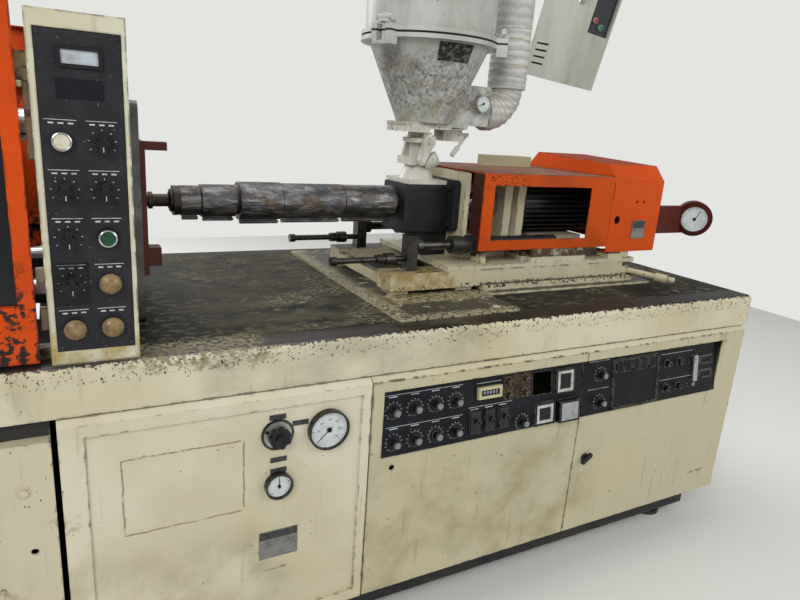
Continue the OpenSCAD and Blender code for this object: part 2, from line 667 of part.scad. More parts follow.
// Sliding safety door with a window, hung over the upper rail.
door_x1 = column_x0 - 20;
door_x0 = door_x1 - safety_w;
door_y1 = -rail_y1 - 5;
door_y0 = door_y1 - safety_t;
win_z0 = deck_z + pane_z;
win_z1 = win_z0 + pane_h;
module safety_frame() difference() {
    box([door_x0, door_y0, deck_z + 5], [door_x1, door_y1, guard_top]);
    box([door_x0 + stile_w, door_y0 - 1, win_z0], [door_x1 - stile_w, door_y1 + 1, win_z1]);
    box([door_x0 + 3, door_y0 + 3, deck_z + 8], [door_x1 - 3, door_y1 + 1, win_z0 - 3]);
    box([door_x0 + 3, door_y0 + 3, win_z1 + 3], [door_x1 - 3, door_y1 + 1, guard_top - 3]);
}
module safety_door() {
    safety_frame();
    for (x = [door_x0 + 40, door_x1 - 100]) {
        box([x, door_y1 - safety_t + 3 - eps, rail_z + seat], [x + 60, -rail_y0 + 6, rail_z + 16]);
        box([x, -rail_y0 + seat, rail_z - 22], [x + 60, -rail_y0 + 6, rail_z + 16]);
        box([x, door_y0 + 3 - eps, deck_z + 8 - eps], [x + 60, -rail_y1 - seat, deck_z + 20]);
    }
    for (z = [axis_z - 60, axis_z + 60]) bar_y(5, door_y0 - 40, door_y0 + eps, door_x0 + stile_w / 2, z);
    bar_z(6.5, axis_z - 68, axis_z + 68, door_x0 + stile_w / 2, door_y0 - 40);
}
module front_door() color(orange) safety_door();
module front_window() color([0.1, 0.11, 0.12, 0.7])
    box([door_x0 + stile_w, door_y0 + 8, win_z0], [door_x1 - stile_w, door_y0 + 14, win_z1]);
module rear_door() color(orange) mirror([0, 1, 0]) {
    safety_door();
    box([door_x0 + stile_w, door_y0 + 8, win_z0], [door_x1 - stile_w, door_y0 + 14, win_z1]);
}

// Control column: cream frame, dark switch face, label window and blank window.
column_y0 = -bed_y + 18;
column_z1 = deck_z + column_h;
switch_x = [column_x - switch_dx / 2 - 2, column_x + switch_dx / 2 - 2];
switch_z = [for (i = [0 : 4]) column_z1 - 221 - i * switch_dz];
module column_holes(r, list) for (p = list) bar_y(r, column_y0 - 9, column_y0 + column_wall + 2,
    switch_x[p[0]], switch_z[p[1]]);
selector_places = [[1, 0], [0, 1], [1, 1], [0, 2], [0, 3]];
push_places = [[0, 0], [1, 2]];
mushroom_places = [[1, 3], [0, 4], [1, 4]];
module control_column() color(cream) difference() {
    union() {
        difference() {
            box([column_x0, column_y0, deck_z], [column_x1, column_y0 + column_d, column_z1]);
            translate([column_wall, column_wall, column_wall])
                box([column_x0, column_y0, deck_z],
                    [column_x1, column_y0 + column_d, column_z1] - 2 * column_wall * [1, 1, 1]);
            box([column_x0 + 12, column_y0 - 1, deck_z + 28],
                [column_x1 - 9, column_y0 + 1.5, column_z1 - 30]);
        }
        translate([column_x - 34, column_y0 + 1.5, column_z1 - 93]) rotate([90, 0, 0])
            linear_extrude(6) difference() {
                round_rect([-1, 0], [73, 36], 3);
                translate([6, 6]) square([60, 24]);
            }
        box([column_x - 38, column_y0 - 1, column_z1 - 145], [column_x + 38, column_y0 + 2, column_z1 - 112]);
        for (p = push_places) bar_y(bezel_r, column_y0 - 6, column_y0 + 2, switch_x[p[0]], switch_z[p[1]]);
        bar_x(17, column_x0 - 16, column_x0 + eps, column_y0 + 57, axis_z - 89);
        box([column_x0 - 14, column_y0 + 50, deck_z + 58], [column_x0 + eps, column_y0 + 62, deck_z + 105]);
        box([column_x0 - 12, column_y0 + 56, axis_z + 133],
            [column_x0 + eps, column_y0 + 68, rail_z - 50]);
    }
    column_holes(4 + seat, selector_places);
    column_holes(cap_r + seat, push_places);
    column_holes(6 + seat, mushroom_places);
}

// Rotary selector: a round base, a bar grip with a pointer end, and its shaft.
module selector(place) color(dark)
    translate([switch_x[place[0]], column_y0 + 1.5 - seat, switch_z[place[1]]]) {
    bar_y(4, -6, 14);
    bar_y(selector_r, -6, 0);
    bar_y(selector_r * 0.8, -10, -6 + eps);
    translate([0, -10 + eps, 0]) rotate([90, 0, 0]) linear_extrude(selector_h - 10) {
        round_rect([-5.5, -selector_r - 1], [5.5, selector_r - 1], 5.4);
        for (a = [-1, 1]) translate([a * 6, 0]) circle(4.5);
    }
}
module selector_1() selector(selector_places[0]);
module selector_2() selector(selector_places[1]);
module selector_3() selector(selector_places[2]);
module selector_4() selector(selector_places[3]);
module selector_5() selector(selector_places[4]);

// Push buttons: round caps that slide in the column's bezels, and domed mushrooms.
module push_button(place) translate([switch_x[place[0]], 0, switch_z[place[1]]]) {
    bar_y(cap_r, column_y0 - 9, column_y0 + column_wall + 4);
}
module white_button() color("#d8d6c8") push_button(push_places[0]);
module green_button() color("#1d5b3a") push_button(push_places[1]);
dome_h = mushroom_r / 2;
dome_r = (mushroom_r * mushroom_r + dome_h * dome_h) / (2 * dome_h);
module mushroom(place) color("#a5793a")
    translate([switch_x[place[0]], column_y0 + 1.5, switch_z[place[1]]]) {
    bar_y(6, -10, 12);
    rotate([90, 0, 0]) translate([0, 0, 6.5]) rotate_extrude() intersection() {
        translate([0, 4 + dome_h - dome_r]) circle(dome_r, $fn = 96);
        square([mushroom_r, 4 + dome_h]);
    }
}
module mushroom_1() mushroom(mushroom_places[0]);
module mushroom_2() mushroom(mushroom_places[1]);
module mushroom_3() mushroom(mushroom_places[2]);

// Square plate round the nozzle with its top angle and a terminal block.
guard_up = 166;
guard_down = 147;
module nozzle_guard() color("#7c3526") difference() {
    union() {
        box([nose_x, -250, axis_z - guard_down], [nose_x + 14, 250, axis_z + guard_up]);
        box([nose_x + 14 - eps, -250, axis_z + guard_up - 19], [nose_x + 62, -245, axis_z + guard_up]);
        box([nose_x + 14 - eps, -250, axis_z + guard_up - 4], [nose_x + 62, -222, axis_z + guard_up]);
        box([nose_x + 14 - eps, -240, axis_z - 127], [nose_x + 44, -196, axis_z - 82]);
    }
    bar_x(48, nose_x - 1, nose_x + 15, 0, axis_z);
}

// Stepped base with two rails for the injection carriage, and the deck plate before it.
base_foot_x0 = nose_x + 997;
foot_plate_t = 8;
rail_in = 150;
rail_out = sled_w / 2;
base_x0 = nose_x + 675;
base_end = nose_x + 1630;
rail_top = deck_z + rail_h;
module injection_base() color(cream) {
    box([nose_x + 600, -446, deck_z], [base_foot_x0 + eps, 446, deck_z + foot_plate_t]);
    box([base_foot_x0, -277, deck_z], [base_end + 106, 277, deck_z + foot_plate_t]);
    box([base_foot_x0 + 10, -rail_out - 18, deck_z + foot_plate_t],
        [base_end + 40, rail_out + 18, deck_z + 28]);
    both_sides() box([base_x0, rail_in, deck_z + foot_plate_t + 12], [base_end, rail_out, rail_top]);
    box([base_end - eps, -rail_out, deck_z + 28], [base_end + 26, 40 - rail_out, rail_top - 14]);
    translate([base_end + 18, 20 - rail_out, deck_z + 44]) rotate([0, 97, -42]) {
        cylinder(r = 13, h = 190);
        cylinder(r = 20, h = 22, $fn = 6);
        translate([0, 0, 120]) cylinder(r = 19, h = 44);
    }
    both_sides() for (x = [base_x0 + 10, base_foot_x0 - 80])
        box([x, rail_in + 10, deck_z + foot_plate_t], [x + 60, rail_out - 10, deck_z + foot_plate_t + 14]);
    for (x = [base_x0, base_end - 24])
        box([x, -rail_in - eps, deck_z + 28], [x + 24, rail_in + eps, rail_top - 12]);
}

// Fixed rods of the carriage cylinders, each with its bracket and piston.
cyl_y = 182;
cyl_z = axis_z - 110;
rod_r = 14;
gland_x = nose_x + 907;
cyl_len = 420;
clevis_x = nose_x + 746;
module carriage_rods() color(steel) both_sides() {
    pipe_z = cyl_z - 38;
    box([clevis_x, cyl_y - 20, rail_top], [clevis_x + 35, cyl_y + 20, cyl_z + 34]);
    bar_x(rod_r, clevis_x + 35 - eps, gland_x + cyl_len - 45, cyl_y, cyl_z);
    bar_x(20 - run_clear, gland_x + cyl_len - 55, gland_x + cyl_len - 35, cyl_y, cyl_z);
    bar_x(24, clevis_x + 35 - eps, clevis_x + 53, cyl_y, cyl_z);
    bar_x(9, clevis_x - 236, clevis_x + eps, cyl_y, pipe_z);
    bar_x(19, clevis_x - 68, clevis_x - 38, cyl_y, pipe_z);
    bar_x(15, clevis_x - 96, clevis_x - 68, cyl_y, pipe_z);
    bar_x(13, clevis_x - 240, clevis_x - 222, cyl_y, pipe_z);
}
module carriage_cylinders() color(dark) both_sides() difference() {
    union() {
        bar_x(28, gland_x, gland_x + 34, cyl_y, cyl_z);
        bar_x(25, gland_x + 34 - eps, gland_x + 60, cyl_y, cyl_z);
        bar_x(29, gland_x + 60 - eps, gland_x + 96, cyl_y, cyl_z);
        bar_x(24, gland_x + 96 - eps, gland_x + cyl_len, cyl_y, cyl_z);
    }
    bar_x(rod_r + run_clear, gland_x - 1, gland_x + cyl_len - 30, cyl_y, cyl_z);
    bar_x(20, gland_x + 20, gland_x + cyl_len - 20, cyl_y, cyl_z);
}

// Injection carriage: sliding plate, raised plate and the posts under the covers.
sled_x0 = nose_x + 871;
sled_x1 = nose_x + 1684;
sled_z0 = rail_top + seat;
sled_z1 = sled_z0 + sled_t;
cover_x0 = nose_x + 982;
cover_x1 = cover_x0 + cover_l;
cover_z0 = axis_z - 124;
hood_z0 = cover_z0 - 21;
hood_x0 = cover_x1 + 1;
hood_x1 = hood_x0 + hood_l;
step_z1 = sled_z1 + 32;
module carriage() color(cream) difference() {
    union() {
        box([sled_x0, -rail_out, sled_z0], [sled_x1, rail_out, sled_z1]);
        box([cover_x0 + 201, 30 - rail_out, sled_z1 - eps], [cover_x1 - 68, rail_out - 30, step_z1]);
        both_sides() {
            box([cover_x0 + 220, rail_out - 19, sled_z1 - eps],
                [cover_x1 - 90, rail_out - sheet_t, cover_z0]);
            box([hood_x0 + 20, rail_out - 60, sled_z1 - eps],
                [hood_x0 + 120, rail_out - sheet_t, hood_z0]);
            box([gland_x + 100, cyl_y - 29, sled_z1 - eps], [gland_x + 124, cyl_y + 29, cyl_z + 30]);
        }
        box([cover_x0 + 360, -90, sled_z1 - eps], [cover_x0 + 560, 90, axis_z - motor_r - 1]);
    }
    both_sides() bar_x(24.2, gland_x + 99, gland_x + 125, cyl_y, cyl_z);
}

// Feed block with its flange, pedestal and throat.
feed_x0 = nose_x + 795;
feed_x1 = feed_x0 + feed_l;
hopper_x = feed_x0 + 88;
gate_x = hopper_x - 12;
feed_z1 = axis_z + feed_top;
front_plate_x0 = feed_x1 + 26;
module feed_block() color(dark) difference() {
    union() {
        along_x(feed_x0, feed_x1) round_rect([-feed_w / 2, axis_z - 92], [feed_w / 2, feed_z1], 8);
        along_x(feed_x1 - eps, feed_x1 + 25) round_rect([-120, axis_z - 82], [120, axis_z + 82], 16);
        box([sled_x0 + 6, -60, sled_z1], [feed_x1 + 20, 60, axis_z - 80]);
        for (y = [-98, 98], z = [-60, 60])
            translate([feed_x1 - 12, y, axis_z + z]) rotate([0, 90, 0]) hex_head(11, 13);
    }
    bar_x(barrel_r + 0.2, feed_x0 - 1, feed_x1 + 26, 0, axis_z);
    bar_z(throat_r, axis_z, feed_z1 + 1, gate_x, 0);
}

// Barrel with its bore, feed slot and reduced front seat for the nozzle.
barrel_x0 = nose_x + 108;
bore_r = screw_r + screw_clear;
module barrel() color("#5b4a3c") difference() {
    union() {
        bar_x(barrel_r, barrel_x0 + 12, feed_x1 + 24, 0, axis_z);
        bar_x(barrel_r + 2.5, barrel_x0, barrel_x0 + 14, 0, axis_z);
    }
    bar_x(bore_r, barrel_x0 - 1, feed_x1 + 25, 0, axis_z);
    bar_z(15, axis_z, axis_z + barrel_r + 2, gate_x, 0);
}
module nozzle() color(dark) translate([0, 0, axis_z]) rotate([0, 90, 0]) rotate_extrude() polygon([
    [3, nose_x - 30], [14, nose_x - 30], [17, nose_x - 18], [17, nose_x + 46], [23, nose_x + 46],
    [23, nose_x + 56], [17, nose_x + 58], [17, nose_x + 96], [31, nose_x + 101], [31, barrel_x0],
    [bore_r, barrel_x0], [6, barrel_x0 - 22], [3, nose_x - 10]]);

// Heater bands round the barrel, each with its clamp ears below.
band_list = [[126, 178, 41], [182, 276, 45], [286, 409, 54], [411, 604, 52], [607, 781, 51]];
module heater_bands() color("#6b5a48") for (b = band_list) {
    x0 = nose_x + b[0];
    x1 = nose_x + b[1];
    difference() {
        union() {
            bar_x(b[2], x0, x1, 0, axis_z);
            for (y = [-7, 3]) box([x0 + 6, y, axis_z - b[2] - 12], [x1 - 6, y + 4, axis_z - b[2] + 4]);
            bar_x(3.5, x0 + 4, x1 - 4, -9, axis_z - b[2] - 6);
        }
        bar_x(barrel_r + seat, x0 - 1, x1 + 1, 0, axis_z);
        box([x0 - 1, -3, axis_z - b[2] - 13], [x1 + 1, 3, axis_z]);
    }
}

// Cream casting behind the feed block: front plate, floor and the cylinder's flanges.
housing_x1 = cover_x0 + 269;
ram_x0 = cover_x0 + 106;
module injection_housing() color(cream) difference() {
    union() {
        along_x(front_plate_x0, front_plate_x0 + 18)
            round_rect([-145, sled_z1 + 0.5], [145, axis_z + 111], 10);
        box([front_plate_x0 + 18 - eps, -120, step_z1], [housing_x1, 120, step_z1 + 26]);
        box([front_plate_x0 + 18 - eps, -120, sled_z1], [cover_x0 + 195, 120, step_z1 + eps]);
        along_x(cover_x0 + 185, cover_x0 + 217) round_rect([-98, step_z1 + 18], [98, axis_z + 90], 24);
        along_x(cover_x0 + 237, housing_x1) round_rect([-104, step_z1 + 18], [104, axis_z + 98], 24);
        bar_x(inj_ram_r + 16, cover_x0 + 217 - eps, cover_x0 + 237 + eps, 0, axis_z);
    }
    bar_x(inj_ram_r + run_clear, cover_x0 + 184, housing_x1 + 1, 0, axis_z);
    bar_x(40, front_plate_x0 - 1, front_plate_x0 + 19, 0, axis_z);
}

// Drive motor with parallel fins, its fan cowl and the ram's working bore.
motor_l = 318;
fin_t = 6;
module drive_motor() color(dark) difference() {
    union() {
        bar_x(motor_r - 22, housing_x1, housing_x1 + motor_l, 0, axis_z);
        intersection() {
            bar_x(motor_r, housing_x1 + 6, housing_x1 + motor_l - 12, 0, axis_z);
            for (i = [0 : fins_n - 1]) {
                z = axis_z - motor_r + 14 + i * (2 * motor_r - 28 - fin_t) / (fins_n - 1);
                box([housing_x1, -motor_r, z], [housing_x1 + motor_l, motor_r, z + fin_t]);
            }
        }
        bar_x(motor_r - 4, housing_x1 + motor_l - 12, housing_x1 + motor_l + 70, 0, axis_z);
    }
    bar_x(inj_ram_r + run_clear, housing_x1 - 1, housing_x1 + inject_stroke - 10, 0, axis_z);
}

// Chromed injection ram, which pushes the screw and moves with it.
module injection_ram() color(chrome) difference() {
    bar_x(inj_ram_r, ram_x0, housing_x1 - 12, 0, axis_z);
    bar_x(12 + run_clear, ram_x0 - 1, ram_x0 + 34, 0, axis_z);
}

// Plasticising screw: a tip, a helical flight on its root, a plain shank and a hub.
flight_x0 = barrel_x0 + 34;
flight_l = gate_x + throat_r - flight_x0;
screw_root = screw_r * 0.62;
module flight_profile() {
    circle(r = screw_root, $fn = 12);
    polygon([[screw_root * 0.8, -5], [screw_r * 0.97, -2.6], [screw_r, 0],
        [screw_r * 0.97, 2.6], [screw_root * 0.8, 5]]);
}
module screw() color(steel) {
    translate([flight_x0, 0, axis_z]) rotate([0, 90, 0])
        linear_extrude(height = flight_l, twist = -360 * flight_l / screw_pitch,
            slices = ceil(flight_l / screw_pitch) * 9, $fn = 12) flight_profile();
    translate([flight_x0 - 24, 0, axis_z]) rotate([0, 90, 0])
        cylinder(r1 = 3, r2 = screw_root - 1, h = 24 + eps);
    bar_x(screw_r, flight_x0 + flight_l - eps, ram_x0 - 60, 0, axis_z);
    bar_x(34, ram_x0 - 60 - eps, ram_x0 - 1, 0, axis_z);
    bar_x(12, ram_x0 - 1 - eps, ram_x0 + 30, 0, axis_z);
}

// Orange side cover with its window, return flanges and oversailing roof sheet.
cover_z1 = cover_z0 + cover_h;
cover_win_x0 = cover_x0 + 42;
cover_win_z0 = cover_z0 + 33;
cover_y = rail_out;
module side_cover() color(orange) {
    difference() {
        box([cover_x0, -cover_y, cover_z0], [cover_x1, cover_y, cover_z1]);
        box([cover_x0 + sheet_t, sheet_t - cover_y, cover_z0 + sheet_t],
            [cover_x1 + 1, cover_y - sheet_t, cover_z1 - sheet_t]);
        box([cover_x0 - 1, -cover_y + 60, cover_z0 - 1],
            [cover_x0 + sheet_t + 1, cover_y - 60, cover_z1 - sheet_t]);
        box([cover_x0 - 1, -cover_y + 20, cover_z0 - 1],
            [cover_x0 + sheet_t + 1, cover_y - 20, cyl_z + 32]);
        box([cover_x0 - 1, -cover_y + 20, cover_z0 - 1],
            [cover_x1 + 1, cover_y - 20, cover_z0 + sheet_t + 1]);
        box([cover_win_x0, -cover_y - 1, cover_win_z0],
            [cover_win_x0 + cover_win_l, -cover_y + sheet_t + 1, cover_win_z0 + cover_win_h]);
    }
    box([cover_x0 + 268, 140, cover_z1 - eps], [cover_x0 + 475, 202, cover_z1 + 37]);
}

// Orange hood over the motor's end, with bevelled long edges and a closed end.
hood_z1 = hood_z0 + hood_h;
module hood_section(g) polygon([[g - cover_y, hood_z0 + g], [g - cover_y, hood_z1 - 68 - g * 0.4],
    [46 - cover_y + g * 0.5, hood_z1 - 16 - g], [cover_y - 43 - g * 0.4, hood_z1 - g],
    [cover_y - g, hood_z1 - 42 - g * 0.4], [cover_y - g, hood_z0 + g]]);
module rear_hood() color(orange) difference() {
    along_x(hood_x0, hood_x1) hood_section(0);
    along_x(hood_x0 + sheet_t, hood_x1 - sheet_t) hood_section(sheet_t);
    box([hood_x0 - 1, -cover_y + 3, hood_z0 - 2], [hood_x0 + sheet_t + 1, cover_y - 3, cover_z1 + 1]);
    box([hood_x0 - 1, -cover_y + 45, hood_z0 - 2], [hood_x1 - 30, cover_y - 45, hood_z0 + sheet_t + 2]);
    bar_y(14, -cover_y - 1, -cover_y + sheet_t + 1, hood_x0 + 34, axis_z - 30);
    for (x = [120, 155]) bar_y(5, -cover_y - 1, -cover_y + sheet_t + 1, hood_x0 + x, axis_z + 34);
}

// Arm at the injection end with the back-pressure gauge in a drum turned to the operator.
arm_y0 = -206;
arm_z = axis_z - 36;
module gauge_arm() color("#b8421a") {
    along_y(arm_y0, arm_y0 + 24) {
        translate([hood_x1, arm_z - 51]) square([214, 102]);
        translate([hood_x1 + 214, arm_z + 3]) circle(54);
    }
    translate([hood_x1 + 203, arm_y0 - 24, arm_z + 6]) rotate([0, 0, -45]) {
        bar_y(66, 0, 50);
        rotate([90, 0, 0]) dial_gauge(53, 6);
    }
}

// Cast gate body between feed block and hopper, with two link plates, a spout and a lever.
gate_z1 = feed_z1 + 179;
module link_plate() {
    top = [6, gate_z1 - 47];
    low = [-18, gate_z1 - 107];
    translate(top) circle(22);
    translate(low) circle(14);
    polygon([top - [22, 0], top + [22, 0], low + [14, 0], low - [14, 0]]);
}
module hopper_base() color("#c9c8c0") translate([gate_x, 0, 0]) difference() {
    union() {
        box([-64, -72, feed_z1], [feed_x1 - gate_x - seat, 88, feed_z1 + 13]);
        translate([0, 0, feed_z1 + 13 - eps]) cylinder(r1 = 57, r2 = 39, h = 44);
        bar_z(29, feed_z1 + 56, gate_z1 - 12);
        box([-50, -44, feed_z1 + 57 - eps], [-14, 44, feed_z1 + 82]);
        bar_z(52, gate_z1 - 52, gate_z1 - 38);
        box([-84, -66, gate_z1 - 20], [2, 66, gate_z1]);
        box([2 - eps, -66, gate_z1 - 8], [80, 66, gate_z1]);
        for (y = [-1, 1]) {
            along_y(y * 58 - 6, y * 58 + 6) link_plate();
            bar_y(9, y * 60 - 10, y * 60 + 10, 6, gate_z1 - 47);
            bar_y(7, y * 60 - 10, y * 60 + 10, -18, gate_z1 - 107);
        }
        box([-12, -53, gate_z1 - 60], [16, 53, gate_z1 - 19]);
        box([-30, -53, gate_z1 - 118], [-8, 53, gate_z1 - 98]);
        translate([10, -30, feed_z1 + 62]) rotate([0, 62, -35]) cylinder(r = 23, h = 46);
        box([-10, -40, feed_z1 + 44], [24, 0, feed_z1 + 74]);
        box([79, -22, gate_z1 - 43], [150, 40, gate_z1 - 5]);
        translate([172, -16, gate_z1 - 20]) rotate([0, 37, 0]) translate([0, 0, -86]) {
            cylinder(r = 8, h = 34);
            cylinder(r = 5, h = 86);
        }
        box([142, -22, gate_z1 - 26], [176, -10, gate_z1 - 14]);
    }
    bar_z(throat_r, feed_z1 - 1, gate_z1 + 1);
    translate([10, -30, feed_z1 + 62]) rotate([0, 62, -35]) translate([0, 0, 16]) cylinder(r = 19, h = 40);
}

// Hopper: spun cone, rolled drum, clamped ring flanges and the hot-air inlet box.
cone_z0 = gate_z1 + 10;
cone_z1 = cone_z0 + cone_h;
ring_h = 30;
ring_r = drum_r + 12;
hinge_y = drum_r + 15;
cone_top_r = drum_r - 14;
drum_z0 = cone_z1 + ring_h;
drum_z1 = drum_z0 + drum_h;
pipe_x = hopper_x + drum_r + 113;
inlet_x1 = hopper_x + 215;
inlet_z = cone_z0 + 42;
module ring_clamp(a) rotate([0, 0, a]) translate([ring_r - 4, 0, cone_z1]) {
    for (y = [-34, 16]) translate([0, y, -22]) cube([34, 18, 54]);
    translate([0, -34, -22]) cube([30, 68, 10]);
    translate([18, 0, -14]) cylinder(r = 7, h = 76);
    translate([18, 0, 36]) cylinder(r = 17, h = 8);
    translate([18, -26, 50]) rotate([-90, 0, 0]) cylinder(r = 8, h = 52);
}
module hopper_cone() difference() {
    union() {
        box([-98, -66, gate_z1], [118, 66, cone_z0]);
        bar_y(8, -66, 66, 120, gate_z1 + 4);
        translate([0, 0, cone_z0 - eps]) cylinder(r1 = cone_r, r2 = cone_top_r, h = cone_h + eps);
        bar_z(ring_r, cone_z1, cone_z1 + ring_h * 0.4);
        bar_z(ring_r - 6, cone_z1 + ring_h * 0.4, cone_z1 + ring_h * 0.6);
        bar_z(ring_r, cone_z1 + ring_h * 0.6, drum_z0);
        for (a = [-155, -36, 83]) ring_clamp(a);
        box([60, -52, inlet_z - 42], [inlet_x1 - hopper_x, 52, inlet_z + 82]);
        translate([183, -52 + eps, inlet_z + 29]) rotate([90, 0, 0]) dial_gauge(29, 3);
    }
    translate([0, 0, cone_z0 + 2]) cylinder(r1 = cone_r - hopper_t, r2 = cone_top_r - hopper_t, h = cone_h);
    bar_z(cone_top_r - hopper_t, cone_z1 - 1, drum_z0 + 1);
    bar_z(throat_r, gate_z1 - 1, cone_z0 + 3, -12);
    bar_x(36, 70, inlet_x1 - hopper_x + 1, 0, inlet_z);
}
module hopper_drum() difference() {
    union() {
        bar_z(drum_r, drum_z0 + seam, drum_z1);
        bar_z(drum_r + 6, drum_z1 - 14, drum_z1);
        for (x = [-46, 30]) {
            box([x, drum_r - 2, drum_z1 - 26], [x + 16, hinge_y + 9, drum_z1]);
            box([x, drum_r + 7, drum_z1 - eps], [x + 16, hinge_y + 9, drum_z1 + 13]);
        }
    }
    bar_z(drum_r - hopper_t, drum_z0, drum_z1 + 1);
    bar_x(5 + run_clear, -47, 47, hinge_y, drum_z1 + 4);
}
module hopper() color("#bfbfb6") translate([hopper_x, 0, 0]) {
    hopper_cone();
    hopper_drum();
}

// Domed lid on a hinge at the back of the drum.
module hopper_lid() color("#bfbfb6") translate([hopper_x, 0, 0]) {
    bar_z(drum_r + 5, drum_z1 + seat, drum_z1 + 8);
    translate([0, 0, drum_z1 + 8 - eps]) cylinder(r1 = drum_r - 4, r2 = 60, h = 34);
    bar_z(44, drum_z1 + 42 - 2 * eps, drum_z1 + 60);
    for (x = [-30, 30]) bar_z(5, drum_z1 + 8, drum_z1 + 62, x, -drum_r + 40);
    bar_x(5, -35, 35, -drum_r + 40, drum_z1 + 62);
    box([-29, drum_r - 20, drum_z1 + seat], [29, hinge_y, drum_z1 + 8]);
    bar_x(8, -29, 29, hinge_y, drum_z1 + 4);
    bar_x(5, -45, 45, hinge_y, drum_z1 + 4);
}

// Wrapped hot-air pipe: the riser, its elbow and the spigot into the inlet box.
elbow_r = 86;
riser_z0 = inlet_z + elbow_r;
module hot_air_pipe() color("#d9d8d2") {
    difference() {
        union() {
            bar_z(pipe_r, riser_z0, blower_z0, pipe_x, 0);
            translate([pipe_x - elbow_r, 0, riser_z0]) rotate([90, 0, 0]) rotate([0, 0, -90])
                rotate_extrude(angle = 90) translate([elbow_r, 0]) circle(pipe_r - 10);
            bar_x(pipe_r - 16, inlet_x1, pipe_x - elbow_r + eps, 0, inlet_z);
        }
        bar_z(pipe_r - 30, riser_z0 - 1, blower_z0 + 1, pipe_x, 0);
        bar_x(30, inlet_x1 - 1, pipe_x - elbow_r + 1, 0, inlet_z);
    }
}

// Blower with its motor on a bracket at the drum, and the bar that the switch box hangs from.
blower_z0 = drum_z1 - 60;
hang_x = hopper_x + 568;
hang_z = axis_z + 822;
hang_t = 12;
module blower() color("#a9aaa4") {
    along_y(-58, 58) {
        translate([pipe_x, blower_z0 + 96]) circle(96);
        translate([pipe_x - pipe_r, blower_z0]) square([2 * pipe_r, 96]);
    }
    bar_y(52, 58 - eps, 190, pipe_x, blower_z0 + 96);
    bar_y(36, -64, -58 + eps, pipe_x, blower_z0 + 96);
    box([hopper_x + drum_r + 7, -40, blower_z0 + 20], [pipe_x - pipe_r + 1, 40, blower_z0 + 32]);
    box([hopper_x + drum_r + 7, -40, blower_z0 - 40], [hopper_x + drum_r + 13, 40, blower_z0 + 32]);
    box([pipe_x + pipe_r - 1, 40, blower_z0 + 20], [hang_x + 16, 52, blower_z0 + 44]);
    box([hang_x - 16, 40, hang_z], [hang_x + 16, 52, blower_z0 + 44]);
    box_frame() translate([22, swb_d - 30, swb_h + seat]) cube([50, 36, hang_t]);
}

// Switch box of the dryer, hanging askew from one corner of its back.
swb_w = 120;
swb_d = 220;
swb_h = 380;
swb_wall = 3;
module box_frame() translate([nose_x + 1372, -100, axis_z + 410]) rotate([box_tilt, 5.4, 3]) children();
module switch_box() color("#cfcabb") box_frame() difference() {
    union() {
        difference() {
            cube([swb_w, swb_d, swb_h]);
            translate([-1, swb_wall, swb_wall])
                cube([swb_w - swb_wall + 1, swb_d - 2 * swb_wall, swb_h - 2 * swb_wall]);
            translate([14, -1, 170]) cube([swb_w - 22, 14, swb_h - 170 - swb_wall]);
        }
        translate([8, 0, 166]) cube([swb_w - 8, 12, 4]);
        translate([10, 11, 166]) cube([swb_w - 10, 3, swb_h - 170]);
        for (p = [[40, 212], [72, 196]])
            translate([p[0], 11.5, p[1]]) rotate([90, 0, 0]) cylinder(r = 9, h = 9);
        translate([48, 2, 290]) cube([42, 10, 34]);
    }
}
module switch_box_door() color("#cfcabb") box_frame() difference() {
    union() {
        translate([-16, 0, 0]) cube([16 - seat, swb_d, swb_h]);
        translate([-24, 24, 250]) cube([9, 16, 40]);
    }
    translate([-13, 3, 3]) cube([13, swb_d - 6, swb_h - 6]);
    for (i = [0 : 3]) translate([-17, swb_d - 90, 40 + i * 22]) cube([5, 62, 6]);
}

plinth();
bed();
clamp_base();
clamp_base_panels();
hydraulic_cabinet();
hydraulic_unit();
control_cabinet();
control_gear();
fixed_platen();
end_platen();
tie_bars();
clamp_cylinder();
clamp_guard();
door_rails();
control_column();
nozzle_guard();
injection_base();
carriage_rods();
pressure_gauges();
moving_platen();
clamp_ram();
ejector();
front_door();
front_window();
rear_door();
carriage();
feed_block();
barrel();
nozzle();
heater_bands();
carriage_cylinders();
injection_housing();
drive_motor();
side_cover();
rear_hood();
gauge_arm();
hopper_base();
hopper();
hot_air_pipe();
blower();
switch_box();
switch_box_door();
hopper_lid();
injection_ram();
screw();
left_control_door();
left_instruments();
right_control_door();
right_instruments();
selector_1();
selector_2();
selector_3();
selector_4();
selector_5();
white_button();
green_button();
mushroom_1();
mushroom_2();
mushroom_3();
handwheel();
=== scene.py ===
"""Looks of a used horizontal injection moulding machine with a hot-air hopper dryer."""
from math import atan2, cos, pi, radians, sin

import bmesh
import bpy
from mathutils import Matrix, Vector


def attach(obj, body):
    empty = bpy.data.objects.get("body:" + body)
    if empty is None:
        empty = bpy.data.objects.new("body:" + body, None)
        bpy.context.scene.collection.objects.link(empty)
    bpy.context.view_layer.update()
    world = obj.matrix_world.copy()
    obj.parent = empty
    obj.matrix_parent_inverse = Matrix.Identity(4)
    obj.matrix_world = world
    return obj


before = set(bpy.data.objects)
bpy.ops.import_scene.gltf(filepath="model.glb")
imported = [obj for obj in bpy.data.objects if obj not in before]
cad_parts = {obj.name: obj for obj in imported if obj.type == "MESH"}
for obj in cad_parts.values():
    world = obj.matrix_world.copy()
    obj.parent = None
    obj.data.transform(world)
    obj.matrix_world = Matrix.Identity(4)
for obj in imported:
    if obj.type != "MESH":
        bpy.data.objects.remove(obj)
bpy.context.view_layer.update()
scene = bpy.context.scene
scene.view_settings.view_transform = "Standard"

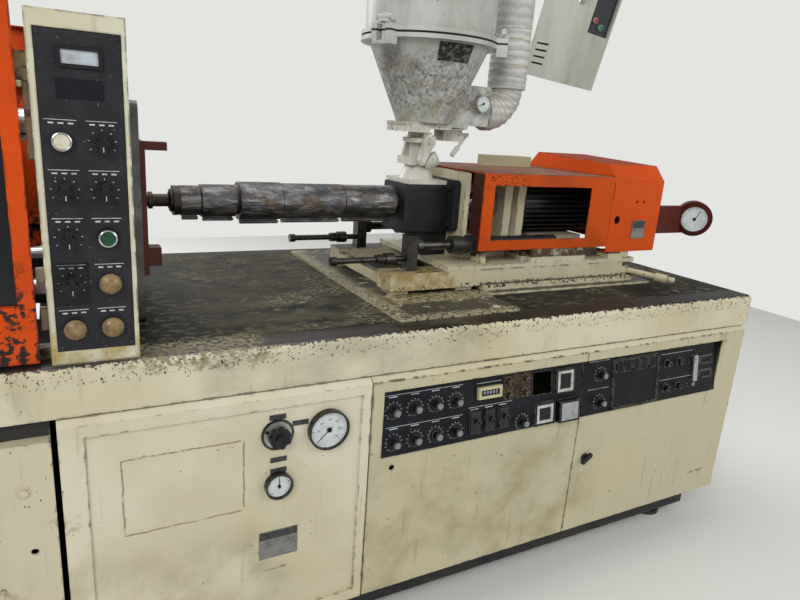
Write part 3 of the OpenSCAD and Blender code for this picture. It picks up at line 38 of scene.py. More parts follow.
# Camera: held at head height off the front left corner of the control cabinet, looking
# down at the deck, and turned a little clockwise in the hand.
yaw, pitch, roll = radians(29.13), radians(15.57), radians(4.06)
ahead = Vector((sin(yaw) * cos(pitch), cos(yaw) * cos(pitch), -sin(pitch)))
level = Vector((cos(yaw), -sin(yaw), 0))
upright = level.cross(ahead)
across = level * cos(roll) + upright * sin(roll)
upward = upright * cos(roll) - level * sin(roll)
lens = bpy.data.cameras.new("camera")
lens.lens, lens.clip_start = 28.33, 0.05
camera = bpy.data.objects.new("camera", lens)
camera.matrix_world = (Matrix.Translation((-0.080, -1.819, 1.400))
                       @ Matrix((across, upward, -ahead)).transposed().to_4x4())
scene.collection.objects.link(camera)
scene.camera = camera


# Studio: a pale sheet of floor, a pale surround, and large soft lamps on all sides. The
# surround looks pale to the camera and in reflections, and lights the object less.
def linear(shade, alpha=1.0):
    """An sRGB hex colour as the linear numbers that Blender takes."""
    parts = [int(shade[i:i + 2], 16) / 255 for i in (1, 3, 5)]
    return [p / 12.92 if p <= 0.04045 else ((p + 0.055) / 1.055) ** 2.4 for p in parts] + [alpha]


def put(tree, kind, give=0, links=None, **settings):
    """Adds one node with its settings and its links or values, and gives one of its outputs."""
    node = tree.nodes.new("ShaderNode" + kind)
    for name, value in settings.items():
        setattr(node, name, value)
    for name, value in (links or {}).items():
        if isinstance(value, bpy.types.NodeSocket):
            tree.links.new(value, node.inputs[name])
        else:
            node.inputs[name].default_value = value
    return node.outputs[give] if len(node.outputs) else None


surround = bpy.data.worlds.new("surround")
surround.use_nodes = True
sky = surround.node_tree
sky.nodes.clear()
ray = put(sky, "LightPath").node.outputs
seen = put(sky, "Math", 0, {0: ray["Is Camera Ray"], 1: ray["Is Transmission Ray"]}, operation="MAXIMUM")
mirrored = put(sky, "Math", 0, {0: ray["Is Glossy Ray"], 1: 0.55}, operation="MULTIPLY")
shown = put(sky, "Math", 0, {0: seen, 1: mirrored}, operation="MAXIMUM")
strength = put(sky, "MapRange", 0, {"Value": shown, "To Min": 0.42, "To Max": 1.0})
put(sky, "OutputWorld", 0, {"Surface": put(sky, "Background", 0, {
    "Color": linear("#e4e4e1"), "Strength": strength})})
scene.world = surround


def lamp(name, place, aim, size, power):
    """A square soft lamp that looks at a point."""
    light = bpy.data.lights.new(name, "AREA")
    light.size, light.energy = size, power
    stand = bpy.data.objects.new(name, light)
    stand.location = place
    stand.rotation_euler = (Vector(aim) - Vector(place)).to_track_quat("-Z", "Y").to_euler()
    scene.collection.objects.link(stand)


lamp("key_lamp", (-3.4, -4.6, 4.6), (0.2, -0.2, 0.9), 3.2, 250)
lamp("fill_lamp", (4.6, -4.4, 3.2), (0.6, -0.2, 1.0), 3.5, 110)
lamp("top_lamp", (0.4, 0.6, 5.6), (0.4, 0.2, 1.0), 3.0, 90)
lamp("rear_lamp", (-1.5, 5.4, 4.2), (0, 0.2, 1.0), 3.5, 230)

floor_sheet = bmesh.new()
bmesh.ops.create_grid(floor_sheet, x_segments=1, y_segments=1, size=5.5)
floor_mesh = bpy.data.meshes.new("studio_floor")
floor_sheet.to_mesh(floor_mesh)
floor_sheet.free()
floor = bpy.data.objects.new("studio_floor", floor_mesh)
scene.collection.objects.link(floor)
floor_paper = bpy.data.materials.new("pale_paper")
floor_paper.use_nodes = True
paper_inputs = floor_paper.node_tree.nodes["Principled BSDF"].inputs
paper_inputs["Base Color"].default_value = linear("#dcdcd9")
paper_inputs["Roughness"].default_value = 0.9
floor_mesh.materials.append(floor_paper)


# Plinth and levelling feet: a welded box of steel plate in black chassis enamel, which has
# gone grey with floor dust and is rubbed along its corners.
def undercoat(name, shade, rough, metal=0.0):
    """Starts a finish. Layers go over it one by one, and seal() makes it a material."""
    material = bpy.data.materials.new(name)
    material.use_nodes = True
    material.node_tree.nodes.clear()
    return {"material": material, "tree": material.node_tree, "colour": linear(shade),
            "rough": rough, "metal": metal, "height": 0.0}


def layer(coat, mask, shade, rough=None, metal=None, lift=0.0):
    """Lays a colour over the coats below wherever the mask is 1, lift metres proud of them."""
    tree = coat["tree"]
    coat["colour"] = put(tree, "Mix", 2, {0: mask, 6: coat["colour"], 7: linear(shade)}, data_type="RGBA")
    if rough is not None:
        coat["rough"] = put(tree, "Mix", 0, {0: mask, 2: coat["rough"], 3: rough})
    if metal is not None:
        coat["metal"] = put(tree, "Mix", 0, {0: mask, 2: coat["metal"], 3: metal})
    if lift:
        coat["height"] = put(tree, "Math", 0, {0: mask, 1: lift, 2: coat["height"]},
                             operation="MULTIPLY_ADD")


def seal(coat, **extra):
    """Ends a finish: its colour, roughness and relief go to one shader."""
    tree = coat["tree"]
    links = {"Base Color": coat["colour"], "Roughness": coat["rough"], "Metallic": coat["metal"],
             "Specular IOR Level": 0.3, **extra}
    if isinstance(coat["height"], bpy.types.NodeSocket):
        links["Normal"] = put(tree, "Bump", 0, {"Height": coat["height"], "Distance": 1.0})
    put(tree, "OutputMaterial", 0, {"Surface": put(tree, "BsdfPrincipled", 0, links)})
    return coat["material"]


def patches(tree, size, low, high, stretch=(1, 1, 1), detail=4.0, seed=0.0):
    """A mask of soft or sharp patches about size metres across, from a noise between low and high."""
    where = put(tree, "Mapping", 0, {"Vector": put(tree, "TexCoord", 3), "Location": (seed, seed, seed),
                                     "Scale": stretch})
    noise = put(tree, "TexNoise", 0, {"Vector": where, "Scale": 1 / size, "Detail": detail, "Roughness": 0.6})
    return put(tree, "MapRange", 0, {"Value": noise, "From Min": low, "From Max": high})


def corners(tree, reach, low=0.985, high=0.86):
    """A mask of the strip, reach metres wide, along each edge, where paint is rubbed and knocked."""
    turned = put(tree, "VectorMath", 1, {0: put(tree, "Bevel", 0, {"Radius": reach}, samples=4),
                                         1: put(tree, "NewGeometry", 1)}, operation="DOT_PRODUCT")
    return put(tree, "MapRange", 0, {"Value": turned, "From Min": low, "From Max": high})


def facing_up(tree, low, high=0.95):
    """A mask of the faces that look upwards, where oil and dust stay, and where the hood's top gets painted
    shade.
    """
    up = put(tree, "SeparateXYZ", 2, {0: put(tree, "NewGeometry", 1)})
    return put(tree, "MapRange", 0, {"Value": up, "From Min": low, "From Max": high})


def both(tree, one, other):
    """Where two masks are both 1."""
    return put(tree, "Math", 0, {0: one, 1: other}, operation="MULTIPLY")


def either(tree, one, other):
    """Where one of two masks is 1."""
    return put(tree, "Math", 0, {0: one, 1: other}, operation="MAXIMUM")


def dress(material, *nodes):
    """Gives a finish to CAD nodes."""
    for name in nodes:
        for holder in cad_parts[name].material_slots:
            holder.material = material


chassis = undercoat("black_chassis_enamel", "#232325", 0.55)
steel = chassis["tree"]
layer(chassis, patches(steel, 0.18, 0.4, 0.75), "#3d3b37", 0.8)
layer(chassis, both(steel, corners(steel, 0.006), patches(steel, 0.02, 0.45, 0.6)), "#6b655b", 0.5)
dress(seal(chassis), "plinth")


# Bed: two side beams and a deck sheet, sprayed in cream machine enamel. The whole top has
# worn through to oily black steel with flakes of the old cream, polished along the rounded
# edge, with a ragged border and loose chips down to the cream front.
def within(tree, low, high, soft=0.002, ragged=0.0, grain=0.03):
    """A mask of the box between two corners, with a ragged border if wanted."""
    middle = [(a + b) / 2 for a, b in zip(low, high)]
    half = [(b - a) / 2 for a, b in zip(low, high)]
    out = put(tree, "VectorMath", 0, {0: put(tree, "TexCoord", 3), 1: middle}, operation="SUBTRACT")
    out = put(tree, "VectorMath", 0, {0: out}, operation="ABSOLUTE")
    out = put(tree, "VectorMath", 0, {0: out, 1: half}, operation="SUBTRACT")
    out = put(tree, "SeparateXYZ", 0, {0: out})
    far = put(tree, "Math", 0, {0: out, 1: out.node.outputs[1]}, operation="MAXIMUM")
    far = put(tree, "Math", 0, {0: far, 1: out.node.outputs[2]}, operation="MAXIMUM")
    if ragged:
        noise = put(tree, "TexNoise", 0, {"Vector": put(tree, "TexCoord", 3), "Scale": 1 / grain,
                                          "Detail": 4.0, "Roughness": 0.7})
        shake = put(tree, "MapRange", 0, {"Value": noise, "From Min": 0.3, "From Max": 0.7,
                                          "To Min": -ragged, "To Max": ragged})
        far = put(tree, "Math", 0, {0: far, 1: shake})
    return put(tree, "MapRange", 0, {"Value": far, "From Min": soft, "From Max": 0.0})


def cream_enamel(name, shade="#cdc6ad", grime=0.5, chips=0.5):
    """Sprayed cream enamel on sheet steel: satin, yellowed in clouds, smeared with oily hand
    and tool marks, speckled with drips, and chipped to black along its edges."""
    coat = undercoat(name, shade, 0.42)
    tree = coat["tree"]
    layer(coat, patches(tree, 0.5, 0.42, 0.72), "#bcb28f", 0.48)
    smear = patches(tree, 0.09, 0.62 - 0.12 * grime, 0.92, stretch=(1, 1, 0.35))
    layer(coat, both(tree, smear, patches(tree, 0.6, 0.35, 0.7, seed=3.1)), "#8d8365", 0.6)
    runs = patches(tree, 0.03, 0.66 - 0.06 * grime, 0.9, stretch=(1, 1, 0.08), detail=2.0, seed=1.7)
    layer(coat, runs, "#7f7456", 0.6)
    specks = patches(tree, 0.012, 0.735 - 0.03 * grime, 0.76, detail=2.0, seed=5.0)
    layer(coat, specks, "#35302a", 0.5)
    scrapes = patches(tree, 0.05, 0.7, 0.73, stretch=(0.3, 1, 1), detail=3.0, seed=7.0)
    layer(coat, both(tree, scrapes, patches(tree, 0.3, 0.5, 0.6, seed=2.0)), "#6d654f", 0.55)
    edge = corners(tree, 0.007, 0.99, 0.9)
    layer(coat, both(tree, edge, patches(tree, 0.03, 0.55 - 0.1 * chips, 0.66 - 0.1 * chips, detail=6.0)),
          "#2b2723", 0.45, lift=-0.0003)
    return coat


bed_paint = cream_enamel("cream_enamel_worn_to_steel", chips=0.8)
top = bed_paint["tree"]
bare_top = within(top, (-2.2, -0.514, 0.8870), (2.1, 0.514, 0.92), 0.001, 0.0075, 0.010)
layer(bed_paint, bare_top, "#1f1c1b", 0.42, 0.2, lift=-0.0003)
layer(bed_paint, both(top, bare_top, patches(top, 0.10, 0.5, 0.75, stretch=(0.5, 1, 1), detail=5.0)),
      "#4d4a40", 0.55)
polished = both(top, within(top, (-0.2, -0.56, 0.86), (0.62, -0.49, 0.94), 0.05), bare_top)
layer(bed_paint, polished, "#5a5657", 0.28, 0.85)
deck = within(top, (-2.2, -0.436, 0.89), (2.1, 0.45, 0.92), 0.002)
layer(bed_paint, deck, "#0f1210", 0.6, 0.0)
layer(bed_paint, both(top, deck, patches(top, 0.16, 0.46, 0.74, stretch=(0.45, 1, 1), detail=6.0)),
      "#302f26", 0.65)
scuffs = both(top, patches(top, 0.22, 0.45, 0.6, seed=8.0),
              patches(top, 0.018, 0.5, 0.62, stretch=(0.6, 1, 1), detail=5.0, seed=6.0))
layer(bed_paint, both(top, deck, scuffs), "#625c48", 0.7)
dusty = both(top, within(top, (0.30, -0.42, 0.89), (0.80, 0.42, 0.92), 0.15),
             patches(top, 0.07, 0.36, 0.7, stretch=(0.5, 1, 1), detail=6.0, seed=4.0))
layer(bed_paint, dusty, "#4a4536", 0.7)
layer(bed_paint, both(top, within(top, (-2.2, -0.4385, 0.89), (0.78, -0.4355, 0.92), 0.001),
                      patches(top, 0.4, 0.3, 0.4)), "#0d0d0d", 0.6)
left_cream = both(top, within(top, (0.04, -0.515, 0.889), (0.30, -0.445, 0.92), 0.03, 0.02, 0.03),
                  patches(top, 0.012, 0.46, 0.52, detail=6.0))
layer(bed_paint, left_cream, "#8c8468", 0.6)
flakes = both(top, patches(top, 0.25, 0.50, 0.62, detail=2.0, seed=9.0),
              patches(top, 0.007, 0.55, 0.60, stretch=(0.5, 1, 1), detail=3.0, seed=2.0))
layer(bed_paint, both(top, deck, flakes), "#837c64", 0.7)
front_chips = both(top, within(top, (-2.2, -0.53, 0.862), (2.1, -0.50, 0.892), 0.006),
                   patches(top, 0.006, 0.60, 0.64, detail=3.0, seed=12.0))
layer(bed_paint, front_chips, "#26211d", 0.5)
dress(seal(bed_paint, **{"Specular IOR Level": 0.12}), "bed")

# Housing under the clamp unit, in black enamel, and its three removable cream panels, which
# are folded from sheet steel.
dress(chassis["material"], "clamp_base")
dress(seal(cream_enamel("cream_enamel_low_panel", "#c5bda3", 0.9, 0.4)), "clamp_base_panels")

# Hydraulic cabinet: folded and welded sheet steel in the same cream enamel, with scratches
# round an old stuck-on sheet, and four small plates riveted beside the gauges, left bare.
hydraulic = cream_enamel("cream_enamel_panel", "#cfc8b2", grime=0.35, chips=0.45)
skin = hydraulic["tree"]
outline = put(skin, "Math", 0, {
    0: within(skin, (-0.001, -0.53, 0.497), (0.260, -0.52, 0.682), 0.001, 0.002, 0.04),
    1: within(skin, (0.003, -0.54, 0.501), (0.256, -0.51, 0.678), 0.001, 0.002, 0.04)}, operation="SUBTRACT")
layer(hydraulic, both(skin, outline, patches(skin, 0.03, 0.36, 0.5)), "#8f866b", 0.6)
# The lower part of the cabinet is darker in patches.
darker_low_part = both(skin, within(skin, (-0.12, -0.6, 0.14), (0.30, 0.6, 0.36), 0.12),
                patches(skin, 0.12, 0.4, 0.72, detail=5.0))
layer(hydraulic, darker_low_part, "#9b9274", 0.6)
dress(seal(hydraulic), "hydraulic_cabinet")


def block(shape, low, high, edge=0.0, at=None):
    """Adds a box between two corners, with rounded edges if wanted."""
    verts = bmesh.ops.create_cube(shape, size=1.0)["verts"]
    bmesh.ops.scale(shape, vec=[b - a for a, b in zip(low, high)], verts=verts)
    bmesh.ops.translate(shape, vec=[(a + b) / 2 for a, b in zip(low, high)], verts=verts)
    if edge:
        ring = list({e for v in verts for e in v.link_edges})
        verts = bmesh.ops.bevel(shape, geom=ring, offset=edge, affect="EDGES", segments=3,
                                profile=0.5, material=-1)["verts"]
    if at is not None:
        bmesh.ops.transform(shape, matrix=at, verts=verts)


def piece(name, shape, material, body, sharp=35):
    """Makes a finished shape a piece that rides on a body."""
    bmesh.ops.recalc_face_normals(shape, faces=shape.faces)
    for face in shape.faces:
        face.smooth = True
    for edge in shape.edges:
        edge.smooth = len(edge.link_faces) == 2 and edge.calc_face_angle(0) < radians(sharp)
    mesh = bpy.data.meshes.new(name)
    shape.to_mesh(mesh)
    shape.free()
    mesh.materials.append(material)
    made = bpy.data.objects.new(name, mesh)
    scene.collection.objects.link(made)
    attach(made, body)


plate_y = -0.526  # face of the recessed panel
tin = undercoat("worn_tin_plate", "#3a3b3c", 0.45, 0.4)
layer(tin, patches(tin["tree"], 0.012, 0.45, 0.75), "#5b5955", 0.6)
tin = seal(tin)
grey_tin = undercoat("scuffed_grey_plate", "#7f7f7b", 0.5, 0.3)
layer(grey_tin, patches(grey_tin["tree"], 0.02, 0.45, 0.7), "#62615d", 0.6)
grey_tin = seal(grey_tin)
small_plates = bmesh.new()
for x, z in ((0.338, 0.726), (0.394, 0.7025), (0.3416, 0.615), (0.3416, 0.586)):
    block(small_plates, (x - 0.020, plate_y - 0.001, z - 0.0065), (x + 0.020, plate_y, z + 0.0065))
piece("small_bare_plates", small_plates, tin, "machine")


def bare_plate(name, low, high, strip_low, strip_high, body):
    """A grey bare plate between two corners, with a darker strip on it."""
    for part, a, b, material in (("", low, high, grey_tin), ("_strip", strip_low, strip_high, tin)):
        shape = bmesh.new()
        block(shape, a, b)
        piece(name + part, shape, material, body)


bare_plate("two_tone_plate", (0.296, plate_y - 0.001, 0.345), (0.394, plate_y, 0.422),
           (0.298, plate_y - 0.0014, 0.400), (0.392, plate_y - 0.0008, 0.420), "machine")


# Pump unit inside the hydraulic cabinet: an oil-dark tank with its pump and motor.
def finish(name, shade, rough, metal=0.0, worn=None, size=0.02, edge=None, **extra):
    """One coat with soft patches in a second colour, and rubbed corners if wanted."""
    coat = undercoat(name, shade, rough, metal)
    tree = coat["tree"]
    if worn:
        layer(coat, patches(tree, size, 0.45, 0.75, detail=5.0), worn, min(rough + 0.15, 0.9))
    if edge:
        layer(coat, both(tree, corners(tree, 0.003), patches(tree, 0.02, 0.4, 0.55)), edge, rough)
    return seal(coat, **extra)


dress(finish("oily_black_paint", "#1c1d1f", 0.4, worn="#2d2b27", size=0.1), "hydraulic_unit")


# Two pressure gauges and the relief valve's collar: polished steel cases, darkened by oil,
# with white printed dials, black pointers and numbers, and flat glass.
def on_front(y, x=0.0, z=0.0, lean=0.0):
    """The frame of an upright face that looks towards -Y, leaning back by an angle in degrees."""
    return Matrix.Translation((x, y, z)) @ Matrix.Rotation(radians(-lean), 4, "X")


def disc(shape, at, x, z, radius, low, high, sides=48):
    """Adds a round slab on a face, from low to high metres proud of it."""
    place = at @ Matrix.Translation((x, -(low + high) / 2, z)) @ Matrix.Rotation(radians(90), 4, "X")
    bmesh.ops.create_cone(shape, cap_ends=True, segments=sides, radius1=radius, radius2=radius,
                          depth=high - low, matrix=place)


def stroke(shape, at, start, end, wide, low, high):
    """Adds a thin bar between two points of a face, from low to high metres proud of it."""
    (x0, z0), (x1, z1) = start, end
    half = ((x1 - x0) ** 2 + (z1 - z0) ** 2) ** 0.5 / 2
    place = at @ Matrix.Translation(((x0 + x1) / 2, 0, (z0 + z1) / 2)) @ Matrix.Rotation(
        -atan2(z1 - z0, x1 - x0), 4, "Y")
    block(shape, (-half, -high, -wide / 2), (half, -low, wide / 2), at=place)


def ticks(shape, at, x, z, near, far, wide, count, first, last, low, high):
    """Adds a fan of ticks round a point, from the first angle to the last, in degrees from +X."""
    for i in range(count):
        a = radians(first + (last - first) * i / (count - 1))
        stroke(shape, at, (x + near * cos(a), z + near * sin(a)), (x + far * cos(a), z + far * sin(a)),
               wide, low, high)


def numeral(shape, at, x, z, text, tall, proud):
    """Adds a number, printed on a face, made from Blender's own font."""
    curve = bpy.data.curves.new("numeral", "FONT")
    curve.body, curve.size, curve.align_x, curve.align_y = text, tall, "CENTER", "CENTER"
    holder = bpy.data.objects.new("numeral", curve)
    flat = holder.to_mesh()
    flat.transform(at @ Matrix.Translation((x, -proud, z)) @ Matrix.Rotation(radians(90), 4, "X"))
    shape.from_mesh(flat)
    holder.to_mesh_clear()
    bpy.data.objects.remove(holder)
    bpy.data.curves.remove(curve)


case_steel = finish("oil_darkened_chrome", "#4a4846", 0.25, 0.9, "#25231f", 0.02)
dress(case_steel, "pressure_gauges")
dial_white = finish("printed_white_dial", "#d3d8da", 0.45, worn="#bfc2bd", size=0.03)
print_black = finish("black_print", "#16161a", 0.5, worn="#2a2a2c")
panel_face = on_front(plate_y)
gauge_floor, gauge_top, ink = 0.010, 0.016, 0.0006  # of the dial, the glass's rim, the print
dials, marks, pointers, glasses = (bmesh.new() for i in range(4))
for x, z, r, count, hand in ((0.464, 0.675, 0.052, 31, 222), (0.341, 0.549, 0.034, 21, 92)):
    face_r = r - 0.0053
    disc(dials, panel_face, x, z, face_r, gauge_floor, gauge_floor + ink)
    ticks(marks, panel_face, x, z, face_r * 0.84, face_r * 0.95, 0.0006, count, 225, -45, gauge_floor, 0.0109)
    ticks(marks, panel_face, x, z, face_r * 0.76, face_r * 0.95, 0.0011, (count + 4) // 5, 225, -45,
          gauge_floor, 0.0110)
    a = radians(hand)
    stroke(pointers, panel_face, (x - 0.25 * face_r * cos(a), z - 0.25 * face_r * sin(a)),
           (x + 0.8 * face_r * cos(a), z + 0.8 * face_r * sin(a)), 0.0016, 0.0125, 0.0132)
    disc(pointers, panel_face, x, z, r * 0.115, gauge_floor, 0.0142, 24)
    disc(glasses, panel_face, x, z, face_r, gauge_top - 0.0016, gauge_top - 0.0008)
for i in range(7):
    a = radians(225 - 45 * i)
    numeral(marks, panel_face, 0.464 + 0.0275 * cos(a), 0.675 + 0.0275 * sin(a), str(50 * i), 0.0075, 0.0109)
piece("gauge_dials", dials, dial_white, "machine")
piece("gauge_scales", marks, print_black, "machine")
piece("gauge_pointers", pointers, print_black, "machine")
gauge_glass = finish("gauge_glass", "#f2f4f4", 0.04, worn="#e9ebe8",
                     **{"Transmission Weight": 1.0, "IOR": 1.02})
piece("gauge_glasses", glasses, gauge_glass, "machine")
collar = bmesh.new()
ring_face = on_front(plate_y - 0.003)
wheel_x, wheel_z = 0.338, 0.681
disc(collar, ring_face, wheel_x, wheel_z, 0.0335, 0, 0.0012)
piece("relief_valve_face", collar, finish("pale_zinc", "#a9a9a4", 0.35, 0.6, "#8b8a82", 0.02), "machine")
screws = bmesh.new()
for side in (-1, 1):
    disc(screws, ring_face, wheel_x + side * 0.0265, wheel_z - side * 0.012, 0.0042, 0, 0.0040, 12)
piece("relief_valve_screws", screws, case_steel, "machine")


# Relief valve's star handwheel: moulded black plastic, greasy and shiny on its lobes.
black_plastic = finish("black_moulded_plastic", "#121214", 0.32, worn="#1f1f21", size=0.01, edge="#3a3836")
dress(black_plastic, "handwheel")


# Control cabinet with its two doors: folded sheet steel in cream enamel, grubby round the
# handles, and the left door yellower. Inside stands the grey control gear.
dress(seal(cream_enamel("cream_enamel_cabinet", "#c6bfa4")), "control_cabinet")
door_cream = cream_enamel("cream_enamel_door", "#b9b296", grime=0.7, chips=0.5)
door_skin = door_cream["tree"]
layer(door_cream, both(door_skin, within(door_skin, (0.58, -0.56, 0.15), (1.30, -0.50, 0.45), 0.15),
                       patches(door_skin, 0.15, 0.42, 0.7, detail=5.0)), "#9a916f", 0.6)
layer(door_cream, within(door_skin, (1.300, -0.58, 0.28), (1.40, -0.5325, 0.50), 0.0005), "#161616", 0.4)
dress(seal(door_cream), "left_control_door", "right_control_door")
dress(finish("control_gear_grey", "#3f4244", 0.55, worn="#2e3032", size=0.06), "control_gear")


# Instrument plates: aluminium sheet in blue-black crackle enamel, dusty and rubbed, with
# knobs on skirts, framed counters and meters, rocker switches and white screened lines.
def slate(name, shade, dust):
    """Dark enamel of an instrument plate, with dust in soft patches and rubbed corners."""
    coat = undercoat(name, shade, 0.42)
    tree = coat["tree"]
    layer(coat, patches(tree, 0.07, 0.46, 0.8, detail=5.0), dust, 0.55)
    layer(coat, patches(tree, 0.006, 0.66, 0.72), "#6e6a60", 0.6)
    layer(coat, both(tree, corners(tree, 0.004), patches(tree, 0.02, 0.4, 0.55)), "#77746b", 0.5)
    return coat


plate_lean, hairline = 7.74, 0.0011
plate_foot = on_front(-0.536, z=0.565, lean=plate_lean)
left_x, right_x = 0.613, 1.30925  # left ends of the two plates; knobs are placed along and up them
pots = [(left_x + 0.035 + i * 0.064, s) for i in range(4) for s in (0.036, 0.122)]
left_small = [(left_x + 0.405 + i * 0.061, 0.112 + row * 0.042) for i in range(2) for row in range(2)]
right_pots = [(right_x + 0.069, s) for s in (0.038, 0.127)]
right_small = [(right_x + 0.375 + i * 0.062, 0.042 + row * 0.084) for i in range(3) for row in range(2)]
left_slate = slate("blue_black_panel_enamel", "#0c1116", "#1e2228")
crackle = left_slate["tree"]
brown = within(crackle, (left_x + 0.388, -0.6, 0.662), (left_x + 0.486, -0.5, 0.738), 0.002)
layer(left_slate, both(crackle, brown, patches(crackle, 0.02, 0.35, 0.6)), "#4b3b28", 0.5)
matt = {"Specular IOR Level": 0.18}
dress(seal(left_slate, **matt), "left_instruments")
dress(seal(slate("black_panel_enamel", "#090b0d", "#1b1b1b"), **matt), "right_instruments")
screen_white = finish("screened_white_lines", "#c9ccce", 0.5, worn="#84878a", size=0.02)
knob_grey = finish("brushed_knob_cap", "#8d9194", 0.3, 0.7, "#6a6c6e", 0.006)
frame_white = finish("pale_meter_frame", "#b9bbb6", 0.4, worn="#87877d", size=0.012, edge="#3c3b38")
counter_cream = finish("yellowed_counter", "#b9b48d", 0.45, worn="#a19b74", size=0.02)
rocker_black = finish("black_rockers", "#232629", 0.35, worn="#191b1e", size=0.015, edge="#808384")
window_black = finish("black_display_pane", "#0b0c0f", 0.12, worn="#15171a", size=0.03)
pale_card = finish("pale_blue_card", "#b7c0c6", 0.6, worn="#9aa2a6", size=0.03)


def knob_caps(caps, at, places, radius, top):
    """Adds a thin cap on top of each knob of a plate."""
    for x, s in places:
        disc(caps, at, x, s, radius, top - 0.002, top + 0.0008, 24)


def scales(shape, at, places, near, far, count=11):
    """Adds a printed scale round each knob of a plate."""
    for x, s in places:
        ticks(shape, at, x, s, near, far, 0.0010, count, 225, -45, 0.0, ink)


def rim(shape, at, low, high, wide, near, top):
    """Adds a picture frame between two corners of a face."""
    (x0, z0), (x1, z1) = low, high
    for a, b in (((x0, z0), (x1, z0 + wide)), ((x0, z1 - wide), (x1, z1)),
                 ((x0, z0 + wide), (x0 + wide, z1 - wide)), ((x1 - wide, z0 + wide), (x1, z1 - wide))):
        block(shape, (a[0], -top, a[1]), (b[0], -near, b[1]), at=at)


def pane(shape, at, low, high, near, top):
    """Adds a flat pane between two corners of a face, from near to top metres proud of it."""
    block(shape, (low[0], -top, low[1]), (high[0], -near, high[1]), at=at)


lines, caps = bmesh.new(), bmesh.new()
knob_caps(caps, plate_foot, pots, 0.0085, 0.025)
knob_caps(caps, plate_foot, [(left_x + 0.458, 0.024)], 0.0085, 0.025)
scales(lines, plate_foot, pots + [(left_x + 0.458, 0.024)], 0.0225, 0.0262)
scales(lines, plate_foot, left_small, 0.0115, 0.0140, 7)
for row in (0.079, 0.165):
    stroke(lines, plate_foot, (left_x + 0.012, row), (left_x + 0.250, row), hairline, 0, ink)
for i in range(4):
    for row in (0.074, 0.160):
        x = left_x + 0.035 + i * 0.064
        stroke(lines, plate_foot, (x - 0.012, row), (x + 0.012, row), 2 * hairline, 0, ink)
stroke(lines, plate_foot, (left_x + 0.296, 0.160), (left_x + 0.380, 0.160), hairline, 0, ink)
stroke(lines, plate_foot, (left_x + 0.270, 0.094), (left_x + 0.420, 0.094), hairline, 0, ink)
for i in range(3):
    stroke(lines, plate_foot, (left_x + 0.277 + i * 0.049, 0.088), (left_x + 0.303 + i * 0.049, 0.088),
           2 * hairline, 0, ink)
piece("left_plate_lines", lines, screen_white, "left_control_door")
piece("left_plate_knob_caps", caps, knob_grey, "left_control_door")
small_caps = bmesh.new()
knob_caps(small_caps, plate_foot, left_small, 0.0065, 0.016)
piece("left_plate_small_caps", small_caps, frame_white, "left_control_door")
framed = bmesh.new()
rim(framed, plate_foot, (left_x + 0.584, 0.096), (left_x + 0.645, 0.1610), 0.0090, 0, 0.0100)
rim(framed, plate_foot, (left_x + 0.508, 0.010), (left_x + 0.570, 0.066), 0.0090, 0, 0.0100)
cover_pane = bmesh.new()
block(cover_pane, (left_x + 0.592, -0.0232, 0.010), (left_x + 0.657, -0.0215, 0.064), 0.0007, plate_foot)
piece("left_plate_cover_front", cover_pane, finish("milky_cover", "#9a9d9c", 0.25, worn="#74777a", size=0.02),
      "left_control_door")
piece("left_plate_meter_frames", framed, frame_white, "left_control_door")
counter = bmesh.new()
rim(counter, plate_foot, (left_x + 0.2975, 0.1155), (left_x + 0.3775, 0.1495), 0.0085, 0, 0.0106)
piece("left_plate_counter_frame", counter, counter_cream, "left_control_door")
digits = bmesh.new()
for i in range(5):
    numeral(digits, plate_foot, left_x + 0.317 + i * 0.0103, 0.1325, "0", 0.013, 0.0085)
panes = bmesh.new()
pane(panes, plate_foot, (left_x + 0.306, 0.124), (left_x + 0.369, 0.141), 0, 0.0080)
pane(panes, plate_foot, (left_x + 0.589, 0.103), (left_x + 0.640, 0.154), 0, 0.0070)
pane(panes, plate_foot, (left_x + 0.512, 0.015), (left_x + 0.566, 0.060), 0, 0.0070)
piece("left_plate_panes", panes, window_black, "left_control_door")
piece("left_plate_digits", digits, screen_white, "left_control_door")
rockers = bmesh.new()
for i in range(3):
    x = left_x + 0.290 + i * 0.049
    block(rockers, (x - 0.0155, -0.0096, 0.0195), (x + 0.0155, 0, 0.0805), 0.002, plate_foot)
piece("left_plate_rocker_covers", rockers, rocker_black, "left_control_door")

# Right plate's knob caps, printed scales and lines, card window with five pale cards, two
# framed slots and a ribbed strip, in the same plastics as on the left plate.
r_lines, r_caps, r_tabs, r_black, r_white = (bmesh.new() for i in range(5))
knob_caps(r_caps, plate_foot, right_pots, 0.0085, 0.025)
knob_caps(r_caps, plate_foot, right_small, 0.0070, 0.014)
scales(r_lines, plate_foot, right_pots, 0.0225, 0.0262)
scales(r_lines, plate_foot, right_small, 0.0125, 0.0152, 7)
for row in (0.082, 0.171):
    stroke(r_lines, plate_foot, (right_x + 0.020, row), (right_x + 0.108, row), hairline, 0, ink)
    stroke(r_lines, plate_foot, (right_x + 0.345, row - 0.012), (right_x + 0.500, row - 0.012),
           hairline, 0, ink)
pane(r_black, plate_foot, (right_x + 0.136, 0.016), (right_x + 0.318, 0.118), 0, 0.0015)
for i in range(5):
    x = right_x + 0.138 + i * 0.037
    pane(r_tabs, plate_foot, (x, 0.126), (x + 0.026, 0.1615), 0, 0.0012)
for i in range(2):
    s = 0.053 + 0.050 * i
    rim(r_white, plate_foot, (right_x + 0.539, s - 0.001), (right_x + 0.605, s + 0.030), 0.003, 0, 0.0012)
pane(r_tabs, plate_foot, (right_x + 0.507, 0.050), (right_x + 0.522, 0.138), 0, 0.0098)
for i in range(12):
    s = 0.056 + 0.007 * i
    stroke(r_black, plate_foot, (right_x + 0.509, s), (right_x + 0.520, s), 0.0022, 0.0095, 0.0101)
piece("right_plate_lines", r_lines, screen_white, "right_control_door")
